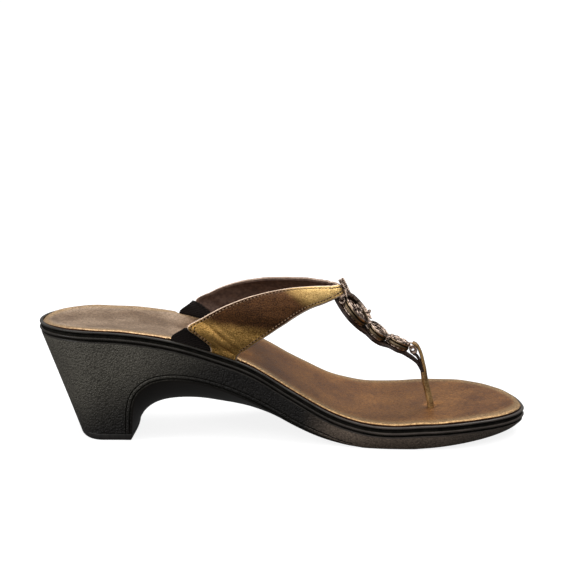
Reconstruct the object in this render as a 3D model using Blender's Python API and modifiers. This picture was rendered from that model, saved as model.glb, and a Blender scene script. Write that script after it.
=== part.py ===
"""Heeled toe post sandal, left shoe: moulded wedge unit, heel tip, footbed, thong upper and medallions.

The tables are in millimetres. A station is the distance forward from the back of the heel, and
y runs across the shoe, with the inner (medial) side at minus y. placed() moves both to the
part's own frame: origin on the ground under the middle of the shoe, +X to the toe, +Z up.
"""

import math
from bisect import bisect_right
from collections import namedtuple

import bmesh
import bpy
from mathutils import Matrix, Vector

MM = 0.001
LENGTH = 252.0            # heel back to toe tip, along the rim
SEAT_RADIUS = 31.0        # round back of the heel seat
TOE_START = 200.0         # station where the rounded toe begins
TOE_TIP_Y = -5.0          # the tip lies on the inner side of the middle
TOE_ROUND_MEDIAL = 1.8    # powers of the toe's rounding: 2 is an ellipse, more is squarer
TOE_ROUND_LATERAL = 2.3
GAP = 0.3                 # clearance between pieces that touch
INSOLE_THICK = 3.0
STRAP_THICK = 2.0
GORE_THICK = 1.2
GORE_FOOT = 20.0          # length of the elastic gore along the rim, behind the strap
HEEL_TIP_THICK = 3.7
BREAST = 48.0             # station of the heel's front face at the ground
STRAP_ROWS = 5            # rows of faces across a strap
STRAP_STEPS = 2           # steps between two rows of a strap's table
PIECES = "heeled_toe_post_sandal"
CUTTERS = "cutters"

# Half widths of the rim between the heel seat and the toe.
Plan = namedtuple("Plan", "station medial lateral")
PLAN = [
    Plan(31, 31.0, 31.0),
    Plan(60, 31.5, 33.0),
    Plan(90, 30.5, 36.0),
    Plan(120, 32.0, 40.5),
    Plan(150, 38.0, 43.8),
    Plan(175, 43.5, 44.5),
    Plan(200, 44.5, 44.0),
]

# The footbed's edge, with how far its middle is dished below that edge.
Bed = namedtuple("Bed", "station height dish")
BED = [
    Bed(0, 60.2, 1.8),
    Bed(25, 59.8, 2.2),
    Bed(50, 58.3, 2.0),
    Bed(70, 54.9, 1.5),
    Bed(90, 48.9, 1.2),
    Bed(110, 41.4, 1.0),
    Bed(130, 29.9, 0.8),
    Bed(150, 19.4, 0.8),
    Bed(165, 15.0, 0.9),
    Bed(180, 13.7, 1.0),
    Bed(200, 14.6, 0.8),
    Bed(225, 15.1, 0.6),
    Bed(252, 14.1, 0.4),
]

# Steps of the rim, from the lip round the footbed out and down to the top of the side wall.
Rim = namedtuple("Rim", "inset drop")
RIM = [
    Rim(1.7, 1.5),
    Rim(1.0, 1.1),
    Rim(0.2, 1.5),
    Rim(0.0, 2.2),
    Rim(0.5, 3.0),
    Rim(1.0, 3.5),
    Rim(0.4, 4.1),
    Rim(0.2, 4.8),
    Rim(0.6, 5.7),
    Rim(1.4, 6.4),
    Rim(0.9, 7.2),
]

# The ground outline: how far it lies inside the rim.
Base = namedtuple("Base", "station inset")
BASE = [
    Base(0, 5.0),
    Base(48, 5.3),
    Base(110, 4.6),
    Base(160, 3.2),
    Base(252, 3.0),
]
SPRING_START = 192.0      # station where the forefoot leaves the ground
TOE_SPRING = 5.4          # height of the sole's underside at the toe tip
SPRING_POWER = 1.05
BACK_RAKE = 16.0          # how much further the heel's back runs forward at the ground
RAKE_POWER = 1.4

# The arch under the waist: the line where it leaves the side wall, and the keel of its belly.
Arch = namedtuple("Arch", "edge_station edge_height keel_station keel_height")
ARCH = [
    Arch(46.8, -3.0, 47.8, -3.0),
    Arch(47.0, 8.0, 51.8, 6.0),
    Arch(47.4, 17.0, 54.2, 9.5),
    Arch(48.9, 23.6, 57.5, 12.3),
    Arch(52.6, 28.5, 61.5, 14.3),
    Arch(59.5, 32.7, 67.0, 15.7),
    Arch(69.3, 34.3, 75.0, 16.4),
    Arch(82.0, 32.9, 84.5, 16.1),
    Arch(95.0, 29.2, 95.0, 14.6),
    Arch(108.0, 23.6, 107.0, 12.7),
    Arch(120.0, 17.3, 119.0, 9.6),
    Arch(132.0, 10.6, 131.0, 5.8),
    Arch(144.0, 5.2, 143.0, 2.6),
    Arch(156.0, 1.7, 153.0, 0.8),
    Arch(167.0, -0.5, 162.0, -0.5),
]
BELLY_POWER = 1.7
# Across the arch: the share of the half width, and how far the bead stands out there.
Across = namedtuple("Across", "share bead")
ACROSS = [
    Across(1.3, 0.0),
    Across(1.0, 0.0),
    Across(0.975, 0.0),
    Across(0.955, 0.8),
    Across(0.92, 0.8),
    Across(0.895, 0.0),
    Across(0.7, 0.0),
    Across(0.45, 0.0),
    Across(0.2, 0.0),
]

# Straps: rear and front edge of the leather's middle layer, from the footbed to the crossing.
Strap = namedtuple("Strap", "rear_x rear_y rear_z front_x front_y front_z bow")
MEDIAL_STRAP = [
    Strap(90.0, -27.4, 46.2, 102.4, -27.8, 41.8, 0.0),
    Strap(89.4, -27.8, 50.8, 104.2, -28.4, 46.4, 0.0),
    Strap(84.0, -29.6, 55.8, 108.0, -30.6, 49.4, 0.6),
    Strap(78.6, -30.0, 60.5, 112.0, -31.4, 52.3, 1.0),
    Strap(86.5, -30.0, 65.4, 117.0, -31.4, 55.6, 1.2),
    Strap(95.5, -29.0, 70.0, 122.5, -30.2, 59.0, 1.4),
    Strap(105.0, -26.6, 73.4, 128.5, -27.6, 62.3, 1.4),
    Strap(115.0, -23.0, 75.7, 134.5, -23.4, 65.4, 1.3),
    Strap(126.0, -18.6, 77.1, 141.0, -18.4, 67.8, 1.1),
    Strap(137.0, -13.5, 77.3, 147.5, -13.6, 69.1, 0.9),
    Strap(146.5, -9.2, 76.9, 152.6, -9.6, 70.5, 0.6),
    Strap(152.2, -6.2, 76.6, 155.8, -7.2, 71.7, 0.4),
]
CROSSING = Strap(154.2, -3.2, 76.6, 156.8, -3.6, 72.0, 0.3)
LATERAL_STRAP = [
    Strap(90.0, 32.9, 46.2, 102.4, 34.9, 41.8, 0.0),
    Strap(89.4, 33.3, 50.8, 104.2, 35.6, 46.4, 0.0),
    Strap(84.0, 35.0, 55.6, 108.0, 38.0, 49.4, 0.6),
    Strap(78.8, 35.3, 60.0, 112.0, 39.0, 52.2, 1.0),
    Strap(86.5, 36.2, 64.2, 117.0, 39.4, 55.3, 1.2),
    Strap(95.5, 36.2, 68.0, 122.5, 38.6, 58.6, 1.4),
    Strap(105.0, 34.4, 70.9, 128.5, 35.8, 61.8, 1.4),
    Strap(115.0, 30.6, 73.0, 134.5, 31.0, 64.9, 1.3),
    Strap(126.0, 24.8, 74.6, 141.0, 24.6, 67.4, 1.1),
    Strap(137.0, 17.2, 75.8, 147.5, 17.0, 69.0, 0.9),
    Strap(146.5, 9.0, 76.4, 152.6, 8.8, 70.7, 0.6),
    Strap(152.2, 2.2, 76.6, 156.0, 1.4, 71.8, 0.4),
]

# Medallions: middle of the rim, radius, fall of the face towards the toe and tilt to the inside.
Medal = namedtuple("Medal", "x y z radius fall tilt")
MEDALS = [
    Medal(164.6, -3.6, 64.0, 9.4, 49, 8),
    Medal(175.8, -4.5, 53.3, 6.1, 38, 9),
    Medal(186.5, -6.0, 47.7, 6.0, 25, -1),
]
# A medallion's turned profile: radius less this inset, and height above the rim.
MEDAL_WALL = [
    (0.5, 0.35), (0.1, 0.1), (0.0, -0.4), (0.5, -0.8), (0.45, -1.2), (0.0, -1.6),
    (0.1, -2.5), (0.9, -3.5), (1.6, -3.9),
]
MEDAL_DOME = [(0.0, 1.3), (0.3, 1.2), (0.55, 0.85), (0.74, 0.3), (0.8, 0.0), (0.86, 0.0)]

# Elastic gores. Their free rear edge: forward of its start, above the footbed's edge, and the
# share of its way out to the strap's corner; then how far the front edge keeps off the strap.
Gore = namedtuple("Gore", "forward rise lean behind below")
GORE = [
    Gore(0.0, -2.7, 0.0, 0.7, 0.0),
    Gore(0.4, 0.4, 0.0, 0.7, 0.4),
    Gore(4.0, 3.0, 0.35, 0.6, 0.7),
    Gore(6.8, 4.8, 1.0, 0.3, 1.0),
]

# The leather that carries the medallions: middle, half width and side tilt before and after the
# medallions, and its half width under each as a share of the radius.
Tongue = namedtuple("Tongue", "x y z half_width tilt")
TONGUE_HEAD = [Tongue(153.9, -3.3, 69.3, 4.8, 4)]
TONGUE_TAIL = [Tongue(194.9, -7.3, 37.4, 2.9, 0), Tongue(197.4, -7.8, 33.6, 2.5, 0)]
SCALLOP = [(-0.72, 0.72), (0.0, 0.96), (0.72, 0.72)]

# The thong's loop over the end ring, and the post down to the footbed, along their middles.
LOOP_PATH = [(193.0, -6.8, 46.8), (194.4, -7.0, 46.3), (196.0, -7.3, 44.6), (197.5, -7.6, 41.2),
             (198.6, -7.9, 37.0), (199.6, -8.2, 33.0)]
LOOP_HALF = (0.9, 2.75)   # half thickness and half width of the loop
POST_PATH = [(198.9, -8.1, 32.0), (199.8, -8.4, 27.0), (201.3, -9.0, 21.0), (202.6, -9.6, 15.5),
             (203.0, -9.8, 11.6)]
POST_HALF = (1.7, 2.5)    # half thickness and half width of the post
END_RING = (193.6, -7.0, 42.9)
END_RING_RADII = (1.4, 0.5)
BAR_PATH = [(155.6, -2.0, 79.0), (157.2, -4.0, 76.0), (158.6, -5.7, 73.1)]
BAR_RADIUS = 0.8


# --------------------------------------------------------------------------- curves and outline

def curve(rows, column):
    """A smooth curve through one column of a table, read at a place in its first column."""
    which = rows[0]._fields.index(column)
    at = [row[0] for row in rows]
    values = [row[which] for row in rows]

    def slope(i):
        low, high = max(i - 1, 0), min(i + 1, len(at) - 1)
        return (values[high] - values[low]) / (at[high] - at[low])

    def read(place):
        if place <= at[0]:
            return values[0]
        if place >= at[-1]:
            return values[-1]
        i = bisect_right(at, place) - 1
        span = at[i + 1] - at[i]
        t = (place - at[i]) / span
        return ((1 + 2 * t) * (1 - t) ** 2 * values[i] + t * (1 - t) ** 2 * span * slope(i)
                + t * t * (3 - 2 * t) * values[i + 1] - t * t * (1 - t) * span * slope(i + 1))

    return read


def through(points, steps):
    """A smooth run of points through the given ones, with this many steps between each two."""
    run = []
    last = len(points) - 1
    for i in range(last):
        before, here = points[max(i - 1, 0)], points[i]
        ahead, after = points[i + 1], points[min(i + 2, last)]
        for step in range(steps):
            t = step / steps
            run.append((2 * here + (ahead - before) * t
                        + (2 * before - 5 * here + 4 * ahead - after) * t ** 2
                        + (3 * here - before - 3 * ahead + after) * t ** 3) / 2)
    run.append(points[-1].copy())
    return run


plan_medial = curve(PLAN, "medial")
plan_lateral = curve(PLAN, "lateral")
bed_height = curve(BED, "height")
bed_dish = curve(BED, "dish")
base_inset = curve(BASE, "inset")


def base_height(station):
    """Height of the underside: flat on the ground as far as the ball, then springing to the toe."""
    forward = max(station - SPRING_START, 0) / (LENGTH - SPRING_START)
    return TOE_SPRING * forward ** SPRING_POWER


def toe_width(station, reach, roundness):
    """Half width of the rounded toe, a superellipse about the line through the tip."""
    forward = (station - TOE_START) / (LENGTH - TOE_START)
    return reach * max(0.0, 1 - forward ** roundness) ** (1 / roundness)


def rim_y(station, side):
    """The rim's y on one side, -1 medial or +1 lateral."""
    if station < SEAT_RADIUS:
        return side * math.sqrt(SEAT_RADIUS ** 2 - (SEAT_RADIUS - station) ** 2)
    if station > TOE_START and side < 0:
        return TOE_TIP_Y - toe_width(station, plan_medial(TOE_START) + TOE_TIP_Y,
                                     TOE_ROUND_MEDIAL)
    if station > TOE_START:
        return TOE_TIP_Y + toe_width(station, plan_lateral(TOE_START) - TOE_TIP_Y,
                                     TOE_ROUND_LATERAL)
    return -plan_medial(station) if side < 0 else plan_lateral(station)


def outline_stations():
    """Stations of the outline's points, closer together round the heel and the toe."""
    heel = [SEAT_RADIUS * (1 - math.cos(math.radians(a))) for a in range(0, 90, 10)]
    waist_steps = 20
    waist = [SEAT_RADIUS + (TOE_START - SEAT_RADIUS) * i / waist_steps for i in range(waist_steps)]
    toe = [TOE_START + (LENGTH - TOE_START) * math.sin(math.radians(a)) for a in range(0, 91, 9)]
    return heel + waist + toe


STATIONS = outline_stations()
HALF = len(STATIONS) - 1


def rim_points():
    """The rim as a closed ring: the medial side from heel to toe, then the lateral side back."""
    medial = [Vector((s, rim_y(s, -1))) for s in STATIONS]
    lateral = [Vector((s, rim_y(s, 1))) for s in STATIONS[1:-1]]
    return medial + lateral[::-1]


RIM_RING = rim_points()
COUNT = len(RIM_RING)


def inward(i):
    """Unit direction into the shoe at one point of the rim."""
    along = (RIM_RING[(i + 1) % COUNT] - RIM_RING[i - 1]).normalized()
    return Vector((-along.y, along.x))


def inset_ring(inset):
    """The rim's ring moved into the shoe."""
    return [RIM_RING[i] + inward(i) * inset for i in range(COUNT)]


def bed_top(x, y):
    """Height of the footbed's face: its edge line, dished towards the middle."""
    medial, lateral = rim_y(x, -1), rim_y(x, 1)
    half = max((lateral - medial) / 2, 1.0)
    share = min(abs(y - (lateral + medial) / 2) / half, 1.0)
    return bed_height(x) - bed_dish(x) * (1 - share ** 2)


def on_bed(ring, drop):
    """A flat ring lifted to the footbed's face, less a drop."""
    return [Vector((p.x, p.y, bed_top(min(max(p.x, 0), LENGTH), p.y) - drop)) for p in ring]


def on_edge(ring, drop):
    """A flat ring lifted to the footbed's edge line, less a drop."""
    return [Vector((p.x, p.y, bed_height(p.x) - drop)) for p in ring]


def ground_ring(extra_inset):
    """The outline at the ground, with the back of the heel raked forward."""
    ring = []
    for i, rim in enumerate(RIM_RING):
        p = rim + inward(i) * (base_inset(rim.x) + extra_inset)
        if rim.x < BREAST:
            p.x += BACK_RAKE * (1 - rim.x / BREAST) ** RAKE_POWER
        ring.append(Vector((p.x, p.y, base_height(rim.x))))
    return ring


# --------------------------------------------------------------------------- meshes and objects

def placed(point):
    """A point of the tables, in metres in the part's own frame."""
    return Vector(((point[0] - LENGTH / 2) * MM, point[1] * MM, point[2] * MM))


def material(name, colour, roughness, metallic):
    """A Principled material in one colour."""
    finish = bpy.data.materials.new(name)
    finish.use_nodes = True
    shader = finish.node_tree.nodes["Principled BSDF"]
    shader.inputs["Base Color"].default_value = (*colour, 1)
    shader.inputs["Roughness"].default_value = roughness
    shader.inputs["Metallic"].default_value = metallic
    return finish


def add_object(name, mesh, finish):
    """A mesh as an object among the pieces, or among the cutters where it has no finish."""
    piece = bpy.data.objects.new(name, mesh)
    bpy.data.collections[PIECES if finish else CUTTERS].objects.link(piece)
    if finish:
        mesh.materials.append(finish)
    else:
        piece.hide_render = True
        piece.display_type = "WIRE"
    return piece


def finished_mesh(name, bm, smooth_angle=40):
    """A bmesh as mesh data, its normals outward and its flat edges smooth."""
    bmesh.ops.recalc_face_normals(bm, faces=bm.faces)
    mesh = bpy.data.meshes.new(name)
    bm.to_mesh(mesh)
    bm.free()
    mesh.shade_smooth()
    mesh.set_sharp_from_angle(angle=math.radians(smooth_angle))
    return mesh


def bridge(bm, ring, following):
    """Faces between two closed rings of equally many vertices."""
    for i in range(len(ring)):
        j = (i + 1) % len(ring)
        bm.faces.new((ring[i], ring[j], following[j], following[i]))


def cover(bm, ring, across, height):
    """Close a ring of the outline with rows across the shoe, at a height given by x and y."""
    rows = [[ring[0]]]
    for i in range(1, HALF):
        medial, lateral = ring[i], ring[COUNT - i]
        row = [medial]
        for k in range(1, across):
            middle = medial.co.lerp(lateral.co, k / across)
            x = middle.x / MM + LENGTH / 2
            row.append(bm.verts.new(placed((x, middle.y / MM, height(x, middle.y / MM)))))
        rows.append(row + [lateral])
    rows.append([ring[HALF]])
    for row, following in zip(rows[1:-2], rows[2:-1]):
        for k in range(across):
            bm.faces.new((row[k], row[k + 1], following[k + 1], following[k]))
    for tip, row in ((rows[0][0], rows[1]), (rows[-1][0], rows[-2])):
        for k in range(across):
            bm.faces.new((tip, row[k], row[k + 1]))


def cut(piece, cutter, operation="DIFFERENCE"):
    """Cut a piece with another object, or keep what the two share."""
    step = piece.modifiers.new(cutter.name, "BOOLEAN")
    step.operation = operation
    step.solver = "EXACT"
    step.object = cutter


def box_cutter(name, low, high):
    """A box between two corners of the tables' frame, as a cutter."""
    low, high = placed(low), placed(high)
    bm = bmesh.new()
    bmesh.ops.create_cube(bm, size=1)
    bmesh.ops.scale(bm, vec=high - low, verts=bm.verts)
    bmesh.ops.translate(bm, vec=(high + low) / 2, verts=bm.verts)
    return add_object(name, finished_mesh(name, bm), None)


# --------------------------------------------------------------------------- the moulded unit

def unit_rings(recessed):
    """Rings of the moulded unit from its top face, over the rim, down the wall to the ground."""
    rings = []
    if recessed:
        rings.append(on_bed(inset_ring(RIM[0].inset), INSOLE_THICK + GAP))
    rings += [on_edge(inset_ring(step.inset), step.drop) for step in RIM]
    wall_top, ground = rings[-1], ground_ring(0)
    middle_share, foot_height, foot_share = 0.4, 2.2, 0.35
    rings.append([top.lerp(low, middle_share) for top, low in zip(wall_top, ground)])
    rings.append([low.lerp(top, min(foot_share, foot_height / (top.z - low.z)))
                  for top, low in zip(wall_top, ground)])
    edge_inset, edge_height, tread_inset = 0.6, 0.5, 2.2
    rings.append([p + Vector((0, 0, edge_height)) for p in ground_ring(edge_inset)])
    rings.append(ground_ring(tread_inset))
    return rings


def unit_form(name, recessed, finish):
    """The whole unit as one loft, with no arch: for the sole itself and for the heel tip."""
    bm = bmesh.new()
    rings = [[bm.verts.new(placed(p)) for p in ring] for ring in unit_rings(recessed)]
    for ring, following in zip(rings, rings[1:]):
        bridge(bm, ring, following)
    drop = INSOLE_THICK + GAP if recessed else RIM[0].drop
    cover(bm, rings[0], 6, lambda x, y: bed_top(x, y) - drop)
    cover(bm, rings[-1], 2, lambda x, y: base_height(x))
    return add_object(name, finished_mesh(name, bm, 50), finish)


def wall_y(station, height, side):
    """The side wall's y at a height, between the top of the wall and the ground."""
    top = bed_height(station) - RIM[-1].drop
    rim = rim_y(station, side) - side * RIM[-1].inset
    low = rim_y(station, side) - side * base_inset(station)
    share = min(max((top - height) / top, 0), 1)
    return rim + (low - rim) * share


def arch_cutter():
    """The space under the waist: a belly between the side edges, with a bead inside each edge."""
    edges = through([Vector((row.edge_station, row.edge_height)) for row in ARCH], 2)
    keels = through([Vector((row.keel_station, row.keel_height)) for row in ARCH], 2)
    shares = [(-row.share, row.bead) for row in ACROSS] + [(0.0, 0.0)]
    shares += [(row.share, row.bead) for row in reversed(ACROSS)]
    depth = 30.0
    bm = bmesh.new()
    grid = []
    for i, (edge, keel) in enumerate(zip(edges, keels)):
        along = edges[min(i + 1, len(edges) - 1)] - edges[max(i - 1, 0)]
        void = Vector((along.y, -along.x)).normalized()
        row = []
        for share, bead in shares:
            side = -1 if share < 0 else 1
            rise = min(abs(share), 1.0) ** BELLY_POWER
            place = keel.lerp(edge, rise) + void * bead
            y = abs(share) * wall_y(edge.x, edge.y, side)
            row.append(bm.verts.new(placed((place.x, y, place.y))))
        grid.append(row)
    for row, following in zip(grid, grid[1:]):
        for k in range(len(row) - 1):
            bm.faces.new((row[k], row[k + 1], following[k + 1], following[k]))
    below = bmesh.ops.extrude_face_region(bm, geom=bm.faces[:])
    for vertex in below["geom"]:
        if isinstance(vertex, bmesh.types.BMVert):
            vertex.co.z = -depth * MM
    return add_object("arch_cutter", finished_mesh("arch_cutter", bm), None)


def build_unit(finish):
    """Sole and heel tip, cut from the same form by the arch and parted above the tip."""
    arch = arch_cutter()
    sole = unit_form("sole", True, finish["unit"])
    cut(sole, arch)
    beyond, outside = BREAST + 15, (-5, -50, -5)
    cut(sole, box_cutter("tip_room", outside, (beyond, -outside[1], HEEL_TIP_THICK + GAP)))
    heel_tip = unit_form("heel_tip", False, finish["tip"])
    cut(heel_tip, box_cutter("tip_slab", outside, (beyond, -outside[1], HEEL_TIP_THICK)), "INTERSECT")
    cut(heel_tip, arch)
    return sole


# --------------------------------------------------------------------------- footbed

def rim_band_cutter(name, first, last, inner_inset, side):
    """A strip that follows the rim between two stations, right through the footbed's edge."""
    steps, outer_inset = 8, 0.5
    below, above = 8, 5
    bm = bmesh.new()
    sections = []
    for i in range(steps + 1):
        x = first + (last - first) * i / steps
        y = rim_y(x, side)
        low, high = bed_height(x) - below, bed_height(x) + above
        corners = [(outer_inset, low), (inner_inset, low), (inner_inset, high), (outer_inset, high)]
        sections.append([bm.verts.new(placed((x, y - side * inset, z))) for inset, z in corners])
    for section, following in zip(sections, sections[1:]):
        bridge(bm, section, following)
    bm.faces.new(sections[0])
    bm.faces.new(sections[-1])
    return add_object(name, finished_mesh(name, bm), None)


def build_insole(finish):
    """The footbed, let into the rim, with pockets for the straps and a hole for the post."""
    outer = RIM[0].inset + GAP
    edge = [(outer + 1.3, 0.0), (outer + 0.4, 0.25), (outer, 0.9)]
    bm = bmesh.new()
    rings = [on_bed(inset_ring(edge[0][0]), 0.0)]
    rings += [on_edge(inset_ring(inset), drop) for inset, drop in edge[1:]]
    rings.append(on_bed(inset_ring(outer), INSOLE_THICK))
    rings = [[bm.verts.new(placed(p)) for p in ring] for ring in rings]
    for ring, following in zip(rings, rings[1:]):
        bridge(bm, ring, following)
    cover(bm, rings[0], 8, bed_top)
    cover(bm, rings[-1], 6, lambda x, y: bed_top(x, y) - INSOLE_THICK)
    insole = add_object("insole", finished_mesh("insole", bm), finish["bed"])
    pocket = RIM[0].inset + GAP + STRAP_THICK + GAP
    beside = 1.2
    first = MEDIAL_STRAP[0].rear_x - GORE_FOOT - beside
    last = MEDIAL_STRAP[0].front_x + beside
    for name, side in (("medial_pocket", -1), ("lateral_pocket", 1)):
        cut(insole, rim_band_cutter(name, first, last, pocket, side))
    bm = bmesh.new()
    lean_room = 0.6
    bmesh.ops.create_cone(bm, cap_ends=True, segments=16, radius1=MM, radius2=MM, depth=12 * MM)
    bmesh.ops.scale(bm, vec=(POST_HALF[0] + GAP + lean_room, POST_HALF[1] + GAP, 1), verts=bm.verts)
    bmesh.ops.translate(bm, vec=placed(POST_PATH[-1]), verts=bm.verts)
    cut(insole, add_object("post_hole", finished_mesh("post_hole", bm), None))


# --------------------------------------------------------------------------- upper

def strap_columns():
    """Both straps as one band: columns of points, medial foot to lateral foot."""
    rows = MEDIAL_STRAP + [CROSSING] + LATERAL_STRAP[::-1]
    rears = through([Vector((r.rear_x, r.rear_y, r.rear_z)) for r in rows], STRAP_STEPS)
    fronts = through([Vector((r.front_x, r.front_y, r.front_z)) for r in rows], STRAP_STEPS)
    bows = through([Vector((r.bow, 0)) for r in rows], STRAP_STEPS)
    columns = []
    for i, (rear, front, bow) in enumerate(zip(rears, fronts, bows)):
        ahead, behind = min(i + 1, len(rears) - 1), max(i - 1, 0)
        along = (rears[ahead] + fronts[ahead] - rears[behind] - fronts[behind]).normalized()
        out = along.cross(front - rear).normalized()
        column = []
        for k in range(STRAP_ROWS + 1):
            share = k / STRAP_ROWS
            column.append(rear.lerp(front, share) - out * bow.x * 4 * share * (1 - share))
        columns.append(column)
    return columns


def tongue_table():
    """The leather's middle line, scalloped under each medallion and set just below its foot."""
    below = MEDAL_WALL[-1][1] - GAP - STRAP_THICK / 2
    rows = list(TONGUE_HEAD)
    for medal in MEDALS:
        fall = math.radians(medal.fall)
        for forward, share in SCALLOP:
            along = forward * medal.radius
            rows.append(Tongue(medal.x + along * math.cos(fall) + below * math.sin(fall), medal.y,
                               medal.z - along * math.sin(fall) + below * math.cos(fall),
                               share * medal.radius, medal.tilt))
    return rows + TONGUE_TAIL


def tongue_rows(points_across):
    """The leather under the medallions, as rows of points across it."""
    table = tongue_table()
    middles = [Vector((row.x, row.y, row.z)) for row in table]
    rows = []
    for i, (middle, row) in enumerate(zip(middles, table)):
        along = middles[min(i + 1, len(middles) - 1)] - middles[max(i - 1, 0)]
        face = Vector((-along.z, 0, along.x)).normalized()
        lean = math.radians(row.tilt)
        across = Vector((0, math.cos(lean), 0)) + face * math.sin(lean)
        rows.append([middle + across * row.half_width * (2 * k / (points_across - 1) - 1)
                     for k in range(points_across)])
    return rows


def build_upper(finish):
    """The two straps, joined where they cross, and the tongue that runs on to the toe post."""
    columns = strap_columns()
    middle = len(MEDIAL_STRAP) * STRAP_STEPS
    joined = range(middle - STRAP_STEPS, middle + STRAP_STEPS + 1)
    bm = bmesh.new()
    grid = [[bm.verts.new(placed(p)) for p in column] for column in columns]
    for column, following in zip(grid, grid[1:]):
        for k in range(STRAP_ROWS):
            bm.faces.new((column[k], column[k + 1], following[k + 1], following[k]))
    row = [grid[i][STRAP_ROWS] for i in joined]
    for points in tongue_rows(len(row)):
        following = [bm.verts.new(placed(p)) for p in points]
        for k in range(len(row) - 1):
            bm.faces.new((row[k], following[k], following[k + 1], row[k + 1]))
        row = following
    upper = add_object("upper", finished_mesh("upper", bm), finish["leather"])
    wall = upper.modifiers.new("wall", "SOLIDIFY")
    wall.thickness = STRAP_THICK * MM
    wall.offset = 0
    wall.use_even_offset = False


def build_gores(finish):
    """The elastic gores that hold the rear corner of each strap to the rim."""
    for name, strap in (("gore_medial", MEDIAL_STRAP), ("gore_lateral", LATERAL_STRAP)):
        start = strap[0].rear_x - GORE_FOOT
        side = -1 if strap[0].rear_y < 0 else 1
        wall = rim_y(start, side) - side * (RIM[0].inset + GAP + STRAP_THICK / 2)
        out = strap[3].rear_y - wall
        rows = [((start + row.forward, wall + out * row.lean, bed_height(start) + row.rise),
                 (beside.rear_x - row.behind, beside.rear_y, beside.rear_z - row.below))
                for row, beside in zip(GORE, strap)]
        across = 3
        bm = bmesh.new()
        grid = [[bm.verts.new(placed(Vector(a).lerp(Vector(b), k / across)))
                 for k in range(across + 1)] for a, b in rows]
        for row, following in zip(grid, grid[1:]):
            for k in range(across):
                bm.faces.new((row[k], row[k + 1], following[k + 1], following[k]))
        gore = add_object(name, finished_mesh(name, bm), finish["elastic"])
        wall = gore.modifiers.new("wall", "SOLIDIFY")
        wall.thickness = GORE_THICK * MM
        wall.offset = 0


def swept(name, path, half_thick, half_wide, sides, finish, steps=3):
    """A bar of oval or flat section along a path in the shoe's lengthwise plane."""
    centres = through([Vector(p) for p in path], steps)
    bm = bmesh.new()
    rings = []
    for i, centre in enumerate(centres):
        along = (centres[min(i + 1, len(centres) - 1)] - centres[max(i - 1, 0)]).normalized()
        wide = (Vector((0, 1, 0)) - along * along.y).normalized()
        thick = along.cross(wide)
        ring = []
        for k in range(sides):
            turn = 2 * math.pi * (k + 0.5) / sides
            ring.append(bm.verts.new(placed(centre + wide * half_wide * math.cos(turn)
                                            + thick * half_thick * math.sin(turn))))
        rings.append(ring)
    for ring, following in zip(rings, rings[1:]):
        bridge(bm, ring, following)
    bm.faces.new(rings[0])
    bm.faces.new(rings[-1])
    return add_object(name, finished_mesh(name, bm), finish)


# --------------------------------------------------------------------------- medallions

def medal_frame(medal):
    """Turn and place of a medallion: its face falls to the toe and tilts to the inside."""
    turn = Matrix.Rotation(math.radians(medal.fall), 4, "Y")
    lean = Matrix.Rotation(math.radians(medal.tilt), 4, "X")
    return Matrix.Translation(placed((medal.x, medal.y, medal.z))) @ turn @ lean


def build_medallions(finish):
    """Three turned medallions with a domed face, a beaded rim and a rounded foot."""
    for number, medal in enumerate(MEDALS, 1):
        profile = [(share * medal.radius, height) for share, height in MEDAL_DOME]
        profile += [(medal.radius - inset, height) for inset, height in MEDAL_WALL]
        profile.append((0.0, MEDAL_WALL[-1][1]))
        bm = bmesh.new()
        line = [bm.verts.new((radius * MM, 0, height * MM)) for radius, height in profile]
        for upper, lower in zip(line, line[1:]):
            bm.edges.new((upper, lower))
        name = f"medallion_{number}"
        mesh = bpy.data.meshes.new(name)
        bm.to_mesh(mesh)
        bm.free()
        medallion = add_object(name, mesh, finish["metal"])
        medallion.matrix_world = medal_frame(medal)
        turned = medallion.modifiers.new("turned", "SCREW")
        turned.steps = turned.render_steps = 28
        turned.use_merge_vertices = True
        turned.merge_threshold = 0.00005


def build_trim(finish):
    """The bar over the strap ends, the end ring, the thong's loop and the toe post."""
    swept("strap_bar", BAR_PATH, BAR_RADIUS, BAR_RADIUS, 8, finish["metal"])
    swept("post_loop", LOOP_PATH, *LOOP_HALF, 10, finish["leather"])
    swept("toe_post", POST_PATH, *POST_HALF, 12, finish["leather"])
    bpy.ops.mesh.primitive_torus_add(
        major_radius=END_RING_RADII[0] * MM, minor_radius=END_RING_RADII[1] * MM,
        major_segments=20, minor_segments=8, location=placed(END_RING),
        rotation=(math.pi / 2, 0, 0))
    ring = bpy.context.object
    ring.name = "end_ring"
    ring.data.materials.append(finish["metal"])
    bpy.context.collection.objects.unlink(ring)
    bpy.data.collections[PIECES].objects.link(ring)


# --------------------------------------------------------------------------- assembly

def main():
    for old in list(bpy.data.objects):
        bpy.data.objects.remove(old)
    for name in (PIECES, CUTTERS):
        bpy.context.scene.collection.children.link(bpy.data.collections.new(name))
    finish = {
        "unit": material("moulded_unit", (0.105, 0.092, 0.078), 0.42, 0.25),
        "tip": material("heel_tip_rubber", (0.035, 0.033, 0.03), 0.6, 0.0),
        "bed": material("footbed_leather", (0.46, 0.27, 0.12), 0.35, 0.55),
        "leather": material("metallic_leather", (0.5, 0.32, 0.13), 0.36, 0.6),
        "elastic": material("elastic", (0.015, 0.012, 0.012), 0.8, 0.0),
        "metal": material("antique_copper", (0.2, 0.12, 0.075), 0.35, 0.9),
    }
    build_unit(finish)
    build_insole(finish)
    build_upper(finish)
    build_gores(finish)
    build_medallions(finish)
    build_trim(finish)


main()
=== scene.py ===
"""The finished look of a heeled toe post sandal for the left foot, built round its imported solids.

Sizes are worked in millimetres. A station is the distance forward from the back of the heel, and y
runs across the shoe with the inner side at minus y.
"""

import math

import bpy
import numpy as np
from mathutils import Matrix, Vector


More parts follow.
